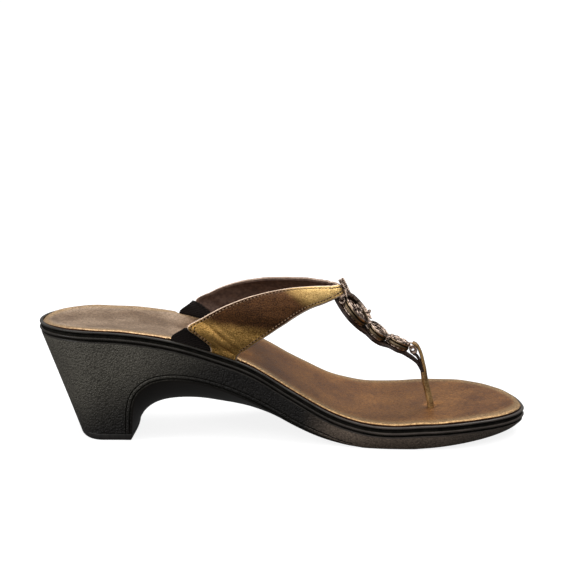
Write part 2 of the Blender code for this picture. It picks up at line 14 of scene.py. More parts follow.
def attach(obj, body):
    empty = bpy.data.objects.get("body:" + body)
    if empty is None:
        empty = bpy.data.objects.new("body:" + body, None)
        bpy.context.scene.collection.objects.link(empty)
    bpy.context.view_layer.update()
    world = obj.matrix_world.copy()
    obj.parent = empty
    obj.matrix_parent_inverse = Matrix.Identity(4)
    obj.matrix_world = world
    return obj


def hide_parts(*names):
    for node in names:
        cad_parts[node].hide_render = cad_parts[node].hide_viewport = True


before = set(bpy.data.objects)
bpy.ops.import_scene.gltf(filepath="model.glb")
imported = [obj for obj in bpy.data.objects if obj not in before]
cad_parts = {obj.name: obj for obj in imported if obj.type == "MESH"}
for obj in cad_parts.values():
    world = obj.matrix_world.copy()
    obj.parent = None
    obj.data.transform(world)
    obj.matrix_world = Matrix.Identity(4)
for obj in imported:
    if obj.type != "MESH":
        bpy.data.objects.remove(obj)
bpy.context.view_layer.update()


# ------------------------------------------------------------------------ studio, floor and camera
# A white floor, a white backdrop that only the camera sees, an even light overhead, four soft
# boxes and a pale room.  The camera stands on the shoe's inner side, a little above it, square
# to its length.

WHITE, BLACK, GREY = (1, 1, 1, 1), (0, 0, 0, 1), (0.3, 0.3, 0.3, 1)


def made(add, name, **settings):
    """A new object from one of Blender's add operators, named."""
    bpy.ops.object.select_all(action="DESELECT")
    add(**settings)
    piece = bpy.context.object
    piece.name = piece.data.name = name
    return piece


def paint(name, **inputs):
    """A material with these inputs of its shader set."""
    material = bpy.data.materials.new(name)
    material.use_nodes = True
    shader = material.node_tree.nodes["Principled BSDF"]
    for socket, value in inputs.items():
        shader.inputs[socket.replace("_", " ")].default_value = value
    return material


floor = made(bpy.ops.mesh.primitive_plane_add, "studio_floor", size=200)
floor.visible_diffuse = floor.visible_glossy = False
floor.data.materials.append(paint("studio_floor", Base_Color=GREY, Roughness=0.9, Specular_IOR_Level=0.1,
                                  Emission_Color=WHITE, Emission_Strength=0.85))

backdrop = made(bpy.ops.mesh.primitive_uv_sphere_add, "white_backdrop", segments=48, ring_count=24, radius=5)
backdrop.visible_diffuse = backdrop.visible_glossy = backdrop.visible_shadow = False
backdrop.data.materials.append(paint("white_backdrop", Base_Color=BLACK, Specular_IOR_Level=0,
                                     Emission_Color=WHITE, Emission_Strength=1.05))

room = bpy.data.worlds.new("white_room")
room.use_nodes = True
nodes, links = room.node_tree.nodes, room.node_tree.links
bearing = nodes.new("ShaderNodeTexCoord")
turned_up = nodes.new("ShaderNodeMapping")
turned_up.inputs["Rotation"].default_value = (0, math.radians(90), 0)
sky = nodes.new("ShaderNodeTexGradient")
fade = nodes.new("ShaderNodeValToRGB")
low_stop, high_stop = fade.color_ramp.elements
low_stop.position, low_stop.color = 0.0, (0.28, 0.28, 0.28, 1)
high_stop.position, high_stop.color = 0.25, WHITE
links.new(bearing.outputs["Generated"], turned_up.inputs["Vector"])
links.new(turned_up.outputs["Vector"], sky.inputs["Vector"])
links.new(sky.outputs["Fac"], fade.inputs["Fac"])
links.new(fade.outputs["Color"], nodes["Background"].inputs["Color"])
nodes["Background"].inputs["Strength"].default_value = 0.4
bpy.context.scene.world = room
bpy.context.scene.view_settings.view_transform = "Standard"

ceiling = made(bpy.ops.object.light_add, "ceiling", type="SUN",
               rotation=(0, math.radians(12), math.radians(30)))
ceiling.data.energy = 2.3
ceiling.data.angle = math.radians(70)
for name, place, width, height, power in (("key_box", (-0.9, -0.35, 0.55), 0.35, 0.5, 4),
                                          ("front_strip", (0.2, -1.1, 0.9), 1.2, 0.12, 3),
                                          ("front_fill", (-0.8, -0.9, 0.14), 0.7, 0.25, 2.2),
                                          ("back_fill", (0.6, 0.8, 1.1), 0.6, 0.6, 3)):
    lamp = made(bpy.ops.object.light_add, name, type="AREA", location=place)
    lamp.data.shape = "RECTANGLE"
    lamp.data.size, lamp.data.size_y = width, height
    lamp.data.energy = power
    lamp.rotation_euler = (-Vector(place)).to_track_quat("-Z", "Y").to_euler()

camera = made(bpy.ops.object.camera_add, "camera", location=(0.0038, -0.7702, 0.2341),
              rotation=(math.radians(78.2), 0, 0))
camera.data.lens = 94.34
camera.data.sensor_width = 36
bpy.context.scene.camera = camera


# ----------------------------------------------------------------------------------- moulded unit
# Wedge heel, arched shank and forefoot in one polyurethane moulding, pebbled on its side walls.
# Two smooth beads run round under the footbed, and a piped edge follows the arch.  Every row of
# points goes once round the shoe, from the seat under the footbed down the wall to the keel.

LENGTH, SEAT = 252.0, 31.0           # heel back to toe tip, and the radius of the heel's round back
TOE, TOE_TIP = 200.0, -5.0           # the station where the toe rounds off, and its tip's y
ARCH_START, ARCH_END = 38.8, 167.0   # rim stations between which the shank is arched
SPRING_START, SPRING = 192.0, 5.4    # the station where the toe starts to rise, and how far it does
BALL_INNER, BALL_OUTER = 44.5, 44.0  # half widths where the toe begins
WALL_IN, WALL_DOWN = 0.85, 7.4       # the wall's top, in from the rim and below the footbed's edge
SEAT_IN, SEAT_DOWN = 1.7, 3.3        # the footbed's seat, in from the rim and below its face
RAKE, RAKE_END = 16.0, 48.0          # how far the heel's back is raked in, and where that ends
CORNER_FORWARD = 4.5                 # how far the heel's front corners are drawn forward
WAIST_STEP = 1.3                     # distance between the rim's points along the waist
PIPING_FADE = 22.0                   # length over which the piping dies away before the ball
TIP_SEAM = 4.0                       # height of the seam over the heel's top piece
BELLY = 1.7                          # power by which the arch swells towards its middle


def curve(*rows):
    """Smooth lines through a table's rows; the first number of a row is the place, and the rest
    are read back there."""
    table = np.array(rows, float)
    at, value = table[:, 0], table[:, 1:]
    low, high = np.maximum(np.arange(len(at)) - 1, 0), np.minimum(np.arange(len(at)) + 1, len(at) - 1)
    slope = (value[high] - value[low]) / (at[high] - at[low])[:, None]

    def read(place):
        place = np.clip(np.asarray(place, float), at[0], at[-1])
        i = np.clip(np.searchsorted(at, place, side="right") - 1, 0, len(at) - 2)
        span = at[i + 1] - at[i]
        t = ((place - at[i]) / span)[..., None]
        span = span[..., None]
        found = ((1 + 2 * t) * (1 - t) ** 2 * value[i] + t * (1 - t) ** 2 * span * slope[i]
                 + t * t * (3 - 2 * t) * value[i + 1] - t * t * (1 - t) * span * slope[i + 1])
        return found[..., 0] if found.shape[-1] == 1 else found

    return read


def normed(rows):
    """Rows of vectors, each brought to a length of 1."""
    return rows / np.maximum(np.linalg.norm(rows, axis=1, keepdims=True), 1e-9)


# Half widths: station, then the inner side's and the outer side's.
plan = curve((31, 31.0, 31.0), (60, 31.5, 33.0), (90, 30.5, 36.0), (120, 32.0, 40.5),
             (150, 38.0, 43.8), (175, 43.5, 44.5), (TOE, BALL_INNER, BALL_OUTER))
# The footbed: station, then its edge line's height and how deep its face is dished.
bed = curve((0, 60.2, 1.8), (25, 59.8, 2.2), (50, 58.3, 2.0), (70, 54.9, 1.5), (90, 48.9, 1.2),
            (110, 41.4, 1.0), (130, 29.9, 0.8), (150, 19.4, 0.8), (165, 15.0, 0.9),
            (180, 13.7, 1.0), (200, 14.6, 0.8), (225, 15.1, 0.6), (252, 14.1, 0.4))
# The tread: station, then how far in from the rim the wall reaches the ground.
base_inset = curve((0, 5.0), (48, 5.3), (110, 4.6), (160, 3.2), (252, 3.0))
# The arch: rim station, then edge station and height, then keel station and height.
arch = curve((ARCH_START, 49.1, 4.0, 50.9, 4.0), (42.0, 49.2, 9.0, 52.3, 7.0),
             (46.0, 49.7, 16.5, 54.4, 9.8), (50.5, 51.1, 22.4, 57.5, 12.3),
             (56.0, 54.5, 27.0, 61.5, 14.3), (62.5, 60.6, 30.9, 67.0, 15.7),
             (71.0, 69.8, 32.4, 75.0, 16.4), (83.0, 82.0, 31.1, 84.5, 16.1),
             (95.0, 95.0, 27.5, 95.0, 14.6), (108.0, 108.0, 22.1, 107.0, 12.7),
             (120.0, 120.0, 16.0, 119.0, 9.6), (132.0, 132.0, 9.6, 131.0, 5.8),
             (144.0, 144.0, 4.6, 143.0, 2.6), (156.0, 156.0, 1.5, 154.0, 0.8),
             (ARCH_END, 167.0, 0.0, 165.0, 0.0))


def rim_y(station, side):
    """The rim's y at a station, on the inner side (-1) or the outer side (1)."""
    station = np.clip(station, 0, LENGTH)
    seat = side * np.sqrt(np.maximum(SEAT ** 2 - (SEAT - station) ** 2, 0))
    waist = np.where(side < 0, -plan(station)[..., 0], plan(station)[..., 1])
    forward = np.clip((station - TOE) / (LENGTH - TOE), 0, 1)
    power = np.where(side < 0, 1.8, 2.3)    # the toe is fuller on its outer side
    reach = np.where(side < 0, BALL_INNER + TOE_TIP, BALL_OUTER - TOE_TIP)
    toe = TOE_TIP + side * reach * (1 - forward ** power) ** (1 / power)
    return np.where(station < SEAT, seat, np.where(station > TOE, toe, waist))


def base_height(station):
    """Height of the tread: on the ground as far as the ball, then springing up to the toe."""
    return SPRING * (np.maximum(station - SPRING_START, 0) / (LENGTH - SPRING_START)) ** 1.05


heel_stations = SEAT * (1 - np.cos(np.radians(np.arange(0, 90, 3.0))))
waist_stations = np.linspace(SEAT, TOE, round((TOE - SEAT) / WAIST_STEP), endpoint=False)
toe_stations = TOE + (LENGTH - TOE) * np.sin(np.radians(np.arange(0, 90.1, 3.0)))
half = np.concatenate([heel_stations, waist_stations, toe_stations])
last = len(half) - 1
round_stations = np.concatenate([half, half[-2:0:-1]])
sides = np.where(np.arange(len(round_stations)) <= last, -1.0, 1.0)
rim = np.column_stack([round_stations, rim_y(round_stations, sides)])
along_rim = np.roll(rim, -1, axis=0) - np.roll(rim, 1, axis=0)
inward = normed(np.column_stack([-along_rim[:, 1], along_rim[:, 0]]))
opposite = (-np.arange(len(rim))) % len(rim)


def bed_top(x, y):
    """Height of the footbed's face: its edge line, dished towards the middle."""
    x = np.clip(x, 0, LENGTH)
    inner, outer = rim_y(x, -1.0), rim_y(x, 1.0)
    share = np.minimum(abs(y - (outer + inner) / 2) / np.maximum((outer - inner) / 2, 1), 1)
    return bed(x)[..., 0] - bed(x)[..., 1] * (1 - share ** 2)


def rim_row(inset, drop):
    """A row round the rim, this far in and this far below the footbed's edge line."""
    flat = rim + inward * inset
    return np.column_stack([flat, bed(np.clip(flat[:, 0], 0, LENGTH))[:, 0] - drop])


def across(row, share, height):
    """A row drawn in towards the middle of the shoe, share 1 at the edge and 0 at the middle."""
    flat = (row[:, :2] + row[opposite, :2]) / 2
    flat = flat + (row[:, :2] - flat) * share
    return np.column_stack([flat, height(flat[:, 0], flat[:, 1])])


def seat_height(x, y):
    """Height of the seat that the footbed is laid into."""
    return bed_top(x, y) - SEAT_DOWN


def through(points, steps):
    """A smooth run of points through the given ones, with this many steps between each two."""
    points = np.array(points, float)
    ends = np.concatenate([points[:1], points, points[-1:]])
    t = (np.arange(steps) / steps).reshape(-1, *[1] * (points.ndim - 1))
    run = [((2 * b) + (c - a) * t + (2 * a - 5 * b + 4 * c - d) * t ** 2
            + (3 * b - a - 3 * c + d) * t ** 3) / 2
           for a, b, c, d in zip(ends, ends[1:], ends[2:], ends[3:])]
    return np.concatenate(run + [points[-1:]])


def metres(points):
    """Points as station, y and height in millimetres, brought into the shoe's frame."""
    return (np.asarray(points, float) - (LENGTH / 2, 0, 0)) * 0.001


def skin(name, rows, closed=True):
    """A grid drawn onto rows of points, and each row's end welded to its start where closed."""
    points = np.array(rows, float)
    if closed:
        points = np.concatenate([points, points[:, :1]], axis=1)
    piece = made(bpy.ops.mesh.primitive_grid_add, name, x_subdivisions=points.shape[1] - 1,
                 y_subdivisions=points.shape[0] - 1)
    piece.data.vertices.foreach_set("co", metres(points).ravel())
    piece.data.update()
    return piece


def weld(piece):
    """Merge the points that coincide and turn the faces outwards."""
    bpy.ops.object.mode_set(mode="EDIT")
    bpy.ops.mesh.select_all(action="SELECT")
    bpy.ops.mesh.remove_doubles(threshold=2e-6)
    bpy.ops.mesh.dissolve_degenerate(threshold=1e-7)
    bpy.ops.mesh.normals_make_consistent(inside=False)
    bpy.ops.object.mode_set(mode="OBJECT")


def pick(*pieces):
    """Select these pieces alone, and make the first one active."""
    bpy.ops.object.select_all(action="DESELECT")
    for piece in pieces:
        piece.select_set(True)
    bpy.context.view_layer.objects.active = pieces[0]


def dress(piece, finishes, nodes=(), smooth=40):
    """Give a piece its finishes, its place on the shoe and the solids that it stands for."""
    for slot_number, material in enumerate(finishes):
        if slot_number < len(piece.data.materials):
            piece.data.materials[slot_number] = material
        else:
            piece.data.materials.append(material)
    pick(piece)
    bpy.ops.object.shade_smooth_by_angle(angle=math.radians(smooth))
    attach(piece, "root")
    if nodes:
        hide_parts(*nodes)


# The lip: distance in from the rim and depth below the footbed's edge line, over the upper bead
# and the lower one.
lip = through([(SEAT_IN, 1.5), (1.0, 1.42), (0.35, 1.6), (0.1, 2.0), (0.3, 2.45), (1.1, 2.7),
               (1.5, 3.2), (1.45, 3.85), (1.0, 4.25), (0.3, 4.5), (0.05, 4.95), (0.3, 5.5),
               (1.0, 5.7), (1.5, 6.1), (1.4, 6.55), (0.95, 6.85), (WALL_IN, WALL_DOWN)], 3)
lip_grooves = ((13, 25), (34, 44))    # rows of the lip between and under the beads
wall_top = rim_row(WALL_IN, WALL_DOWN)
is_heel, is_fore = round_stations < ARCH_START - 0.1, round_stations >= ARCH_END
# The ground line: raked in at the heel's back, and drawn forward to the heel's front corner.
ground = rim + inward * base_inset(round_stations)[:, None]
corner_share = np.clip((round_stations - SEAT) / (ARCH_START - WAIST_STEP - SEAT), 0, 1)
ground[:, 0] += (RAKE * np.maximum(1 - round_stations / RAKE_END, 0) ** 1.4
                 + np.where(is_heel, CORNER_FORWARD * corner_share, 0))
ground = np.column_stack([ground, base_height(ground[:, 0])])


def wall_y(x, z, side):
    """The side wall's y, straight between the top of the wall and the ground."""
    top = bed(np.clip(x, 0, LENGTH))[..., 0] - WALL_DOWN
    share = np.clip((top - z) / top, 0, 1)
    return rim_y(x, side) - side * (WALL_IN + (base_inset(x) - WALL_IN) * share)


def on_wall(x, z):
    """A row of the wall's surface, through these stations and heights."""
    return np.column_stack([x, wall_y(x, z, sides), z])


# The corner under the wall, as height up the wall and distance in: piped along the arch, and
# simply rounded at the tread.
piped = np.array([(4.0, 0.0), (3.4, 0.0), (3.2, 0.4), (2.98, 0.4), (2.78, 0.0), (2.45, -0.18),
                  (2.05, -0.26), (1.65, -0.18), (1.35, 0.0), (1.15, 0.4), (0.93, 0.4),
                  (0.72, 0.06), (0.3, 0.25), (0.0, 0.9)])
rounded = np.array([(1.6, 0.0), (1.3, 0.0), (1.1, 0.0), (0.9, 0.01), (0.72, 0.04), (0.56, 0.08),
                    (0.42, 0.14), (0.3, 0.21), (0.2, 0.3), (0.12, 0.41), (0.06, 0.54),
                    (0.03, 0.7), (0.01, 0.85), (0.0, 1.0)])
LAST_ON_WALL = 11    # the corner's last row that stands out from the wall; the rest turn in under it
piping = (~is_heel * np.clip((ARCH_END - round_stations) / PIPING_FADE, 0, 1))[:, None]
foot_radius = np.where(is_heel, 0, 0.3 + np.clip((round_stations - 150) / 20, 0, 1))[:, None]
rises, insets = (rounded[:, k] * foot_radius * (1 - piping) + piped[:, k] * piping for k in (0, 1))

# Square to the arch's edge line, up the wall.
edge = arch(round_stations)
edge[:, 1] = np.maximum(edge[:, 1], base_height(edge[:, 0]))
ahead = normed(arch(round_stations + 0.4)[:, :2] - arch(round_stations - 0.4)[:, :2])
square = np.column_stack([-ahead[:, 1], ahead[:, 0]])


def wall_row(share):
    """A row of the wall, from its top (0) to the tip or the tread, or the piping's start (1)."""
    seam = (wall_top[:, 2] - TIP_SEAM) / wall_top[:, 2]
    straight = wall_top + (ground - wall_top) * np.where(is_heel, seam, 1)[:, None] * share
    top, low = wall_top[:, ::2], edge[:, :2] + square * rises[:, :1]
    slanted = on_wall(*(top + (low - top) * share).T)
    blend = np.clip((round_stations - SEAT) / (2 * WAIST_STEP), 0, 1)[:, None]
    heel = straight * (1 - blend) + on_wall(straight[:, 0], straight[:, 2]) * blend
    return np.where(is_heel[:, None], heel, np.where(is_fore[:, None], straight, slanted))


on_arch = ~(is_heel | is_fore)[:, None]
corner = np.where(on_arch, on_wall(edge[:, 0], edge[:, 1]), wall_row(1.0))
seat_bottom = across(rim_row(SEAT_IN, 0), 1, seat_height)
breast = edge[np.argmax(~is_heel)]


def under_row(share):
    """A row of the underside: the tip's seat, the belly of the arch with its piping, the tread."""
    share = np.broadcast_to(share, len(rim))
    rise = share ** BELLY
    x = edge[:, 2] + (edge[:, 0] - edge[:, 2]) * rise
    z = edge[:, 3] + (edge[:, 1] - edge[:, 3]) * rise
    curved = np.column_stack([x, share * corner[:, 1], np.maximum(z, base_height(x))])
    middle = (corner + corner[opposite]) / 2
    flat = middle + (corner - middle) * share[:, None]
    ramp = np.clip((round_stations - 24) / (ARCH_START - 24), 0, 1)
    flat[:, 0] += np.where(is_heel, (breast[2] - breast[0]) * (1 - rise) * ramp, 0)
    flat[:, 2] = np.where(is_heel, TIP_SEAM, base_height(flat[:, 0]))
    return np.where(on_arch, curved, flat)


up = normed(np.where(on_arch, on_wall(*(edge[:, :2] + square).T), wall_row(0.8)) - corner)
inner = under_row(0.9) - corner
at_tips = np.linalg.norm(inner[:, :2], axis=1) < 0.01
inner[at_tips] = np.column_stack([inward, 0 * sides])[at_tips]
inner = normed(inner)
into_wall = inner * (1 - piping) + np.column_stack([0 * sides, -sides, 0 * sides]) * piping


def corner_row(number):
    """One row of the corner, piped or rounded by its place on the shoe."""
    into = inner if number > LAST_ON_WALL else into_wall
    return corner + up * rises[:, number, None] + into * insets[:, number, None]


seat_shares = (0, 0.4, 0.8, 1)
under_shares = (0.97, 0.93, 0.86, 0.76, 0.64, 0.5, 0.36, 0.22, 0.1, 0.0)
rows = [across(seat_bottom, share, seat_height) for share in seat_shares]
rows += [rim_row(inset, drop) for inset, drop in lip]
first_wall = len(rows) - 1
rows += [wall_row(share) for share in (0.05, 0.12, 0.22, 0.34, 0.46, 0.58, 0.7)]
first_corner = len(rows)
rows += [corner_row(number) for number in range(len(piped))]
first_under = len(rows) - 2
tread_edge = rows[-1]
half_reach = np.maximum(np.linalg.norm(corner - corner[opposite], axis=1) / 2, 0.5)
edge_share = 1 - np.minimum(np.linalg.norm(tread_edge - corner, axis=1) / half_reach, 1)
rows += [under_row(share * edge_share) for share in under_shares]
unit = skin("moulded_unit", rows)

# Materials by row: 0 the pebbled wall, 1 the beads of the lip, 2 the underside, 3 the grooves, painted near
# black as shade.
row_of_face = np.repeat(np.arange(len(rows) - 1), len(rim))
region = np.where(row_of_face < first_wall, 1, np.where(row_of_face < first_under, 0, 2))
face_piped = np.tile(piping[:, 0] > 0.3, len(rows) - 1)
in_lip = row_of_face - len(seat_shares)
for first, final in lip_grooves:
    region[(in_lip >= first) & (in_lip < final)] = 3
for groove in (1, 2, 3, 8, 9, 10):
    region[(row_of_face == first_corner + groove) & face_piped] = 3
unit.data.polygons.foreach_set("material_index", region)
weld(unit)


class Socket:
    """The output of a shader node; arithmetic on it adds Math nodes."""

    def __init__(self, tree, output=None):
        self.tree, self.output = tree, output

    def add(self, kind, settings=None, result=0, **sockets):
        """A node, from its type, its settings and its sockets' values or links; i6 is input 6."""
        node = self.tree.nodes.new("ShaderNode" + kind)
        for setting, value in (settings or {}).items():
            setattr(node, setting, value)
        for socket, value in sockets.items():
            by_number = socket[0] == "i" and socket[1:].isdigit()
            target = node.inputs[int(socket[1:]) if by_number else socket.replace("_", " ")]
            if isinstance(value, Socket):
                self.tree.links.new(value.output, target)
            else:
                target.default_value = value
        return Socket(self.tree, node.outputs[result])

    def _math(self, operation, first, second):
        return self.add("Math", {"operation": operation}, i0=first, i1=second)

    def __add__(self, other):
        return self._math("ADD", self, other)

    def __sub__(self, other):
        return self._math("SUBTRACT", self, other)

    def __rsub__(self, other):
        return self._math("SUBTRACT", other, self)

    def __mul__(self, other):
        return self._math("MULTIPLY", self, other)

    __radd__, __rmul__ = __add__, __mul__

    def band(self, low, high):
        """0 below low, 1 above high, and smooth between."""
        return self.add("MapRange", {"interpolation_type": "SMOOTHSTEP"}, Value=self,
                        From_Min=low, From_Max=high)

    def _blend(self, kind, amount, *colours):
        first, second = (c if isinstance(c, Socket) else (*c, 1) for c in colours)
        return self.add("Mix", {"data_type": "RGBA", "blend_type": kind}, result=2,
                        Factor=amount, i6=first, i7=second)

    def mix(self, first, second):
        """Two colours, mixed by this value."""
        return self._blend("MIX", self, first, second)

    def tint(self, colour, amount=1.0):
        """This colour multiplied by another one, as far as the amount says."""
        return self._blend("MULTIPLY", amount, self, colour)

    def axis(self, number):
        """One coordinate of this place: 0 along the shoe, 1 across it, 2 upwards."""
        return self.add("SeparateXYZ", Vector=self, result=number)

    def noise(self, scale, detail, roughness=0.5):
        """Cloudy noise over this place."""
        return self.add("TexNoise", Vector=self, Scale=scale, Detail=detail, Roughness=roughness)

    def cells(self, scale):
        """Distance to the nearest of many scattered dots."""
        return self.add("TexVoronoi", Vector=self, Scale=scale)


def finish(name, roughness, shine, metallic=0.0, **constants):
    """A new material: the place on its piece, and a function that links what changes there."""
    material = paint(name, Roughness=roughness, Metallic=metallic, Specular_IOR_Level=shine, **constants)
    tree = material.node_tree
    place = Socket(tree).add("TexCoord", result=3)

    def link(colour, bump, depth, **others):
        raised = place.add("Bump", Height=bump, Distance=depth)
        for socket, value in {"Base Color": colour, "Normal": raised, **others}.items():
            tree.links.new(value.output, tree.nodes["Principled BSDF"].inputs[socket])
        return material

    return place, link


def mottled(name, roughness, shine, scale, detail, dark, light, depth, high=0.7, **constants):
    """A finish of one noise, which mottles its colour from dark to light and raises its surface."""
    place, link = finish(name, roughness, shine, **constants)
    cloud = place.noise(scale, detail)
    return link(cloud.band(0.3, high).mix(dark, light), cloud, depth)


place, link = finish("pebbled_unit", 0.46, 0.2)
forward, height = place.axis(0), place.axis(2)
grain = place.add("TexVoronoi", {"feature": "SMOOTH_F1"}, Vector=place, Scale=1200, Smoothness=0.5)
mottle, speck = place.noise(60, 3), place.noise(1500, 2)
tone = (mottle * 0.3 + speck * 0.4 + grain * -0.5 + 0.38).band(0.25, 0.75)
# Painted light and shade on the wall: lighter at the heel's back, the ball and the toe, darker at the waist
# and towards the ground, as the side light falls on it.
painted_light_and_shade = (forward * 0.5 - height + 0.1055).band(0.021, 0.058)
painted_light_and_shade = painted_light_and_shade.mix((0.090, 0.083, 0.068), (0.012, 0.011, 0.010))
ball = height.band(-0.001, 0.010).mix((0.052, 0.038, 0.028), (0.175, 0.133, 0.102))
toe = height.band(0.003, 0.013).mix((0.070, 0.056, 0.045), (0.165, 0.132, 0.105))
painted_light_and_shade = forward.band(0.008, 0.034).mix(painted_light_and_shade, forward.band(0.064, 0.098).mix(ball, toe))
pebbled_unit = link(painted_light_and_shade.tint(tone.mix((0.62, 0.62, 0.62), (1.38, 1.38, 1.38))),
                    grain * -1.0 + speck * 0.3, 0.0005)

place, link = finish("smooth_bead", 0.33, 0.22)
cloud = place.noise(90, 4).band(0.3, 0.7)
# Painted light: the beads are lighter from the waist forward, where more light falls on them.
smooth_bead = link(place.axis(0).band(0.008, 0.045).mix(
    cloud.mix((0.022, 0.019, 0.016), (0.036, 0.032, 0.027)),
    cloud.mix((0.042, 0.034, 0.028), (0.066, 0.053, 0.044))), place.noise(900, 1), 0.00005)

smooth_shank = mottled("smooth_shank", 0.36, 0.1, 40, 4, (0.014, 0.012, 0.010), (0.022, 0.019, 0.016),
                       0.0001)
# Painted shade: the grooves of the lip and the piping are coloured near black, darker than the beads, for the
# shade in them.
groove_painted_shade = mottled("groove", 0.7, 0.05, 300, 3, (0.004, 0.004, 0.003), (0.014, 0.012, 0.010),
                        0.00003, 0.8)
dress(unit, [pebbled_unit, smooth_bead, smooth_shank, groove_painted_shade], ["sole"])


# --------------------------------------------------------------------------------- heel top piece
# A separate slab of hard black rubber, nailed and glued under the heel.  It keeps the heel's
# raked outline at the back and meets the arch at its front.

TIP, TIP_ROUND = 3.7, 1.4    # height of the slab, and how far its ground edge is rounded
heel_count = int(np.argmax(~is_heel)) - 1    # rim points from the heel's back to its breast
front_shares = np.linspace(-1, 1, 27)


def tip_ring(height):
    """The slab's outline at a height: up the inner side, across the breast, down the outer."""
    share = height / wall_top[:, 2]
    walls = ground * (1 - share)[:, None] + wall_top * share[:, None]
    near = walls[:heel_count + 1]
    far = walls[opposite][:heel_count + 1]
    front = breast[2] + (breast[0] - breast[2]) * abs(front_shares) ** BELLY
    front = front - 0.6 * (1 - height / TIP) * (1 - front_shares ** 4)
    left, right = (float(wall_y(breast[0], height, np.array(side))) for side in (-1.0, 1.0))
    across_front = np.column_stack([front, np.interp(front_shares, (-1, 1), (left, right)),
                                    np.full(len(front), height)])
    ring = np.concatenate([near, across_front, far[:0:-1]])
    ring[:, 2] = height
    return ring


def round_edges(piece, width, segments, angle, material=-1):
    """Round the edges of a piece that are sharper than an angle."""
    rounding = piece.modifiers.new("rounding", "BEVEL")
    rounding.width = width * 0.001
    rounding.segments = segments
    rounding.limit_method = "ANGLE"
    rounding.angle_limit = math.radians(angle)
    rounding.material = material
    bpy.ops.object.modifier_apply(modifier="rounding")


low_ring, high_ring = tip_ring(0.0), tip_ring(TIP)
heel_piece = made(bpy.ops.mesh.primitive_circle_add, "heel_top_piece", vertices=len(low_ring),
                  radius=0.02, fill_type="NGON")
for vertex, place in zip(heel_piece.data.vertices, low_ring):
    vertex.co = metres(place)
bpy.ops.object.mode_set(mode="EDIT")
bpy.ops.mesh.select_all(action="SELECT")
bpy.ops.mesh.extrude_region_move(TRANSFORM_OT_translate={"value": (0, 0, TIP * 0.001)})
bpy.ops.object.mode_set(mode="OBJECT")
raised = [v for v in heel_piece.data.vertices if v.co.z > 0.001]
for vertex, place in zip(raised, high_ring):
    vertex.co = metres(place)
weld(heel_piece)
bpy.ops.object.mode_set(mode="EDIT")
bpy.ops.mesh.select_all(action="DESELECT")
bpy.ops.object.mode_set(mode="OBJECT")
for vertex in heel_piece.data.vertices:
    vertex.select = vertex.co.z < 0.0001
bpy.ops.object.mode_set(mode="EDIT")
bpy.ops.mesh.bevel(offset=TIP_ROUND * 0.001, segments=5, affect="EDGES")
bpy.ops.object.mode_set(mode="OBJECT")
round_edges(heel_piece, 0.5, 3, 40)

place, link = finish("top_piece_rubber", 0.55, 0.4)
scuff = place.add("Mapping", Vector=place, Scale=(400, 400, 40)).noise(1, 4)
top_piece_rubber = link(scuff.band(0.3, 0.8).mix((0.008, 0.007, 0.006), (0.02, 0.018, 0.016)),
                        scuff, 0.0001)
dress(heel_piece, [top_piece_rubber], ["heel_tip"], smooth=50)


# ---------------------------------------------------------------------------------------- footbed
# Metallic bronze leather wrapped over a thin padded board and bonded into the unit's rim.  Its
# edge is rolled, it has a pocket at each side for the straps, and it dips round the toe post.

BED_DEPTH = 3.0              # board and padding together
POST_FOOT = (203.0, -9.8)    # where the toe post goes down
STRAP_FOOT = (68.8, 103.6)   # stations of the pocket at each side


def into_pocket(station):
    """How much further in the footbed's edge lies where a strap goes down beside it."""
    start_in = np.clip((station - STRAP_FOOT[0] + 1.2) / 1.6, 0, 1)
    end_in = np.clip((STRAP_FOOT[1] + 1.2 - station) / 1.6, 0, 1)
    return 2.3 * start_in * end_in


def bed_face(x, y):
    """The padded face: slightly uneven, and drawn down round the toe post."""
    away = np.hypot(x - POST_FOOT[0], (y - POST_FOOT[1]) * 0.9)
    dimple = 1.5 * np.exp(-(away / 3.4) ** 2) - 0.25 * np.exp(-((away - 7) / 2.5) ** 2)
    uneven = 0.10 * np.sin(x * 0.31 + 1.3 * np.sin(y * 0.12)) * np.cos(y * 0.23 + 0.4)
    return bed_top(x, y) - dimple + uneven


def bed_row(inset, drop):
    """A row round the footbed, this far inside the rim and below its face."""
    flat = rim + inward * (inset + into_pocket(round_stations))[:, None]
    return np.column_stack([flat, bed_face(flat[:, 0], flat[:, 1]) - drop])


def mark(piece, label, values):
    """Keep a measure of each point of a piece for its material."""
    layer = piece.data.attributes.new(label, "FLOAT", "POINT")
    layer.data.foreach_set("value", np.ascontiguousarray(values, dtype=np.float32).ravel())


bed_outer = bed_row(2.05, 1.5)
floor_shares = (0, 0.35, 0.7, 0.97)
bed_rows = [across(bed_outer, share, lambda x, y: bed_top(x, y) - BED_DEPTH) for share in floor_shares]
roll = through([(2.3, 2.8), (2.05, 2.3), (1.9, 1.6), (1.55, 1.12), (1.75, 0.62), (2.4, 0.22),
                (3.3, 0.04), (4.3, 0.0)], 2)
bed_rows += [bed_row(inset, drop) for inset, drop in roll]
bed_rows += [across(bed_rows[-1], share, bed_face)
             for share in (0.985, 0.955, 0.92, 0.87, 0.81, 0.74, 0.66, 0.58, 0.5, 0.42, 0.34, 0.26,
                           0.18, 0.1, 0.04, 0)]
footbed = skin("footbed", bed_rows)
from_rim = np.linalg.norm(np.array(bed_rows)[:, :, :2] - rim[None], axis=2)
from_rim[:len(floor_shares)] = 0
mark(footbed, "from_rim", np.concatenate([from_rim, from_rim[:, :1]], axis=1))
weld(footbed)

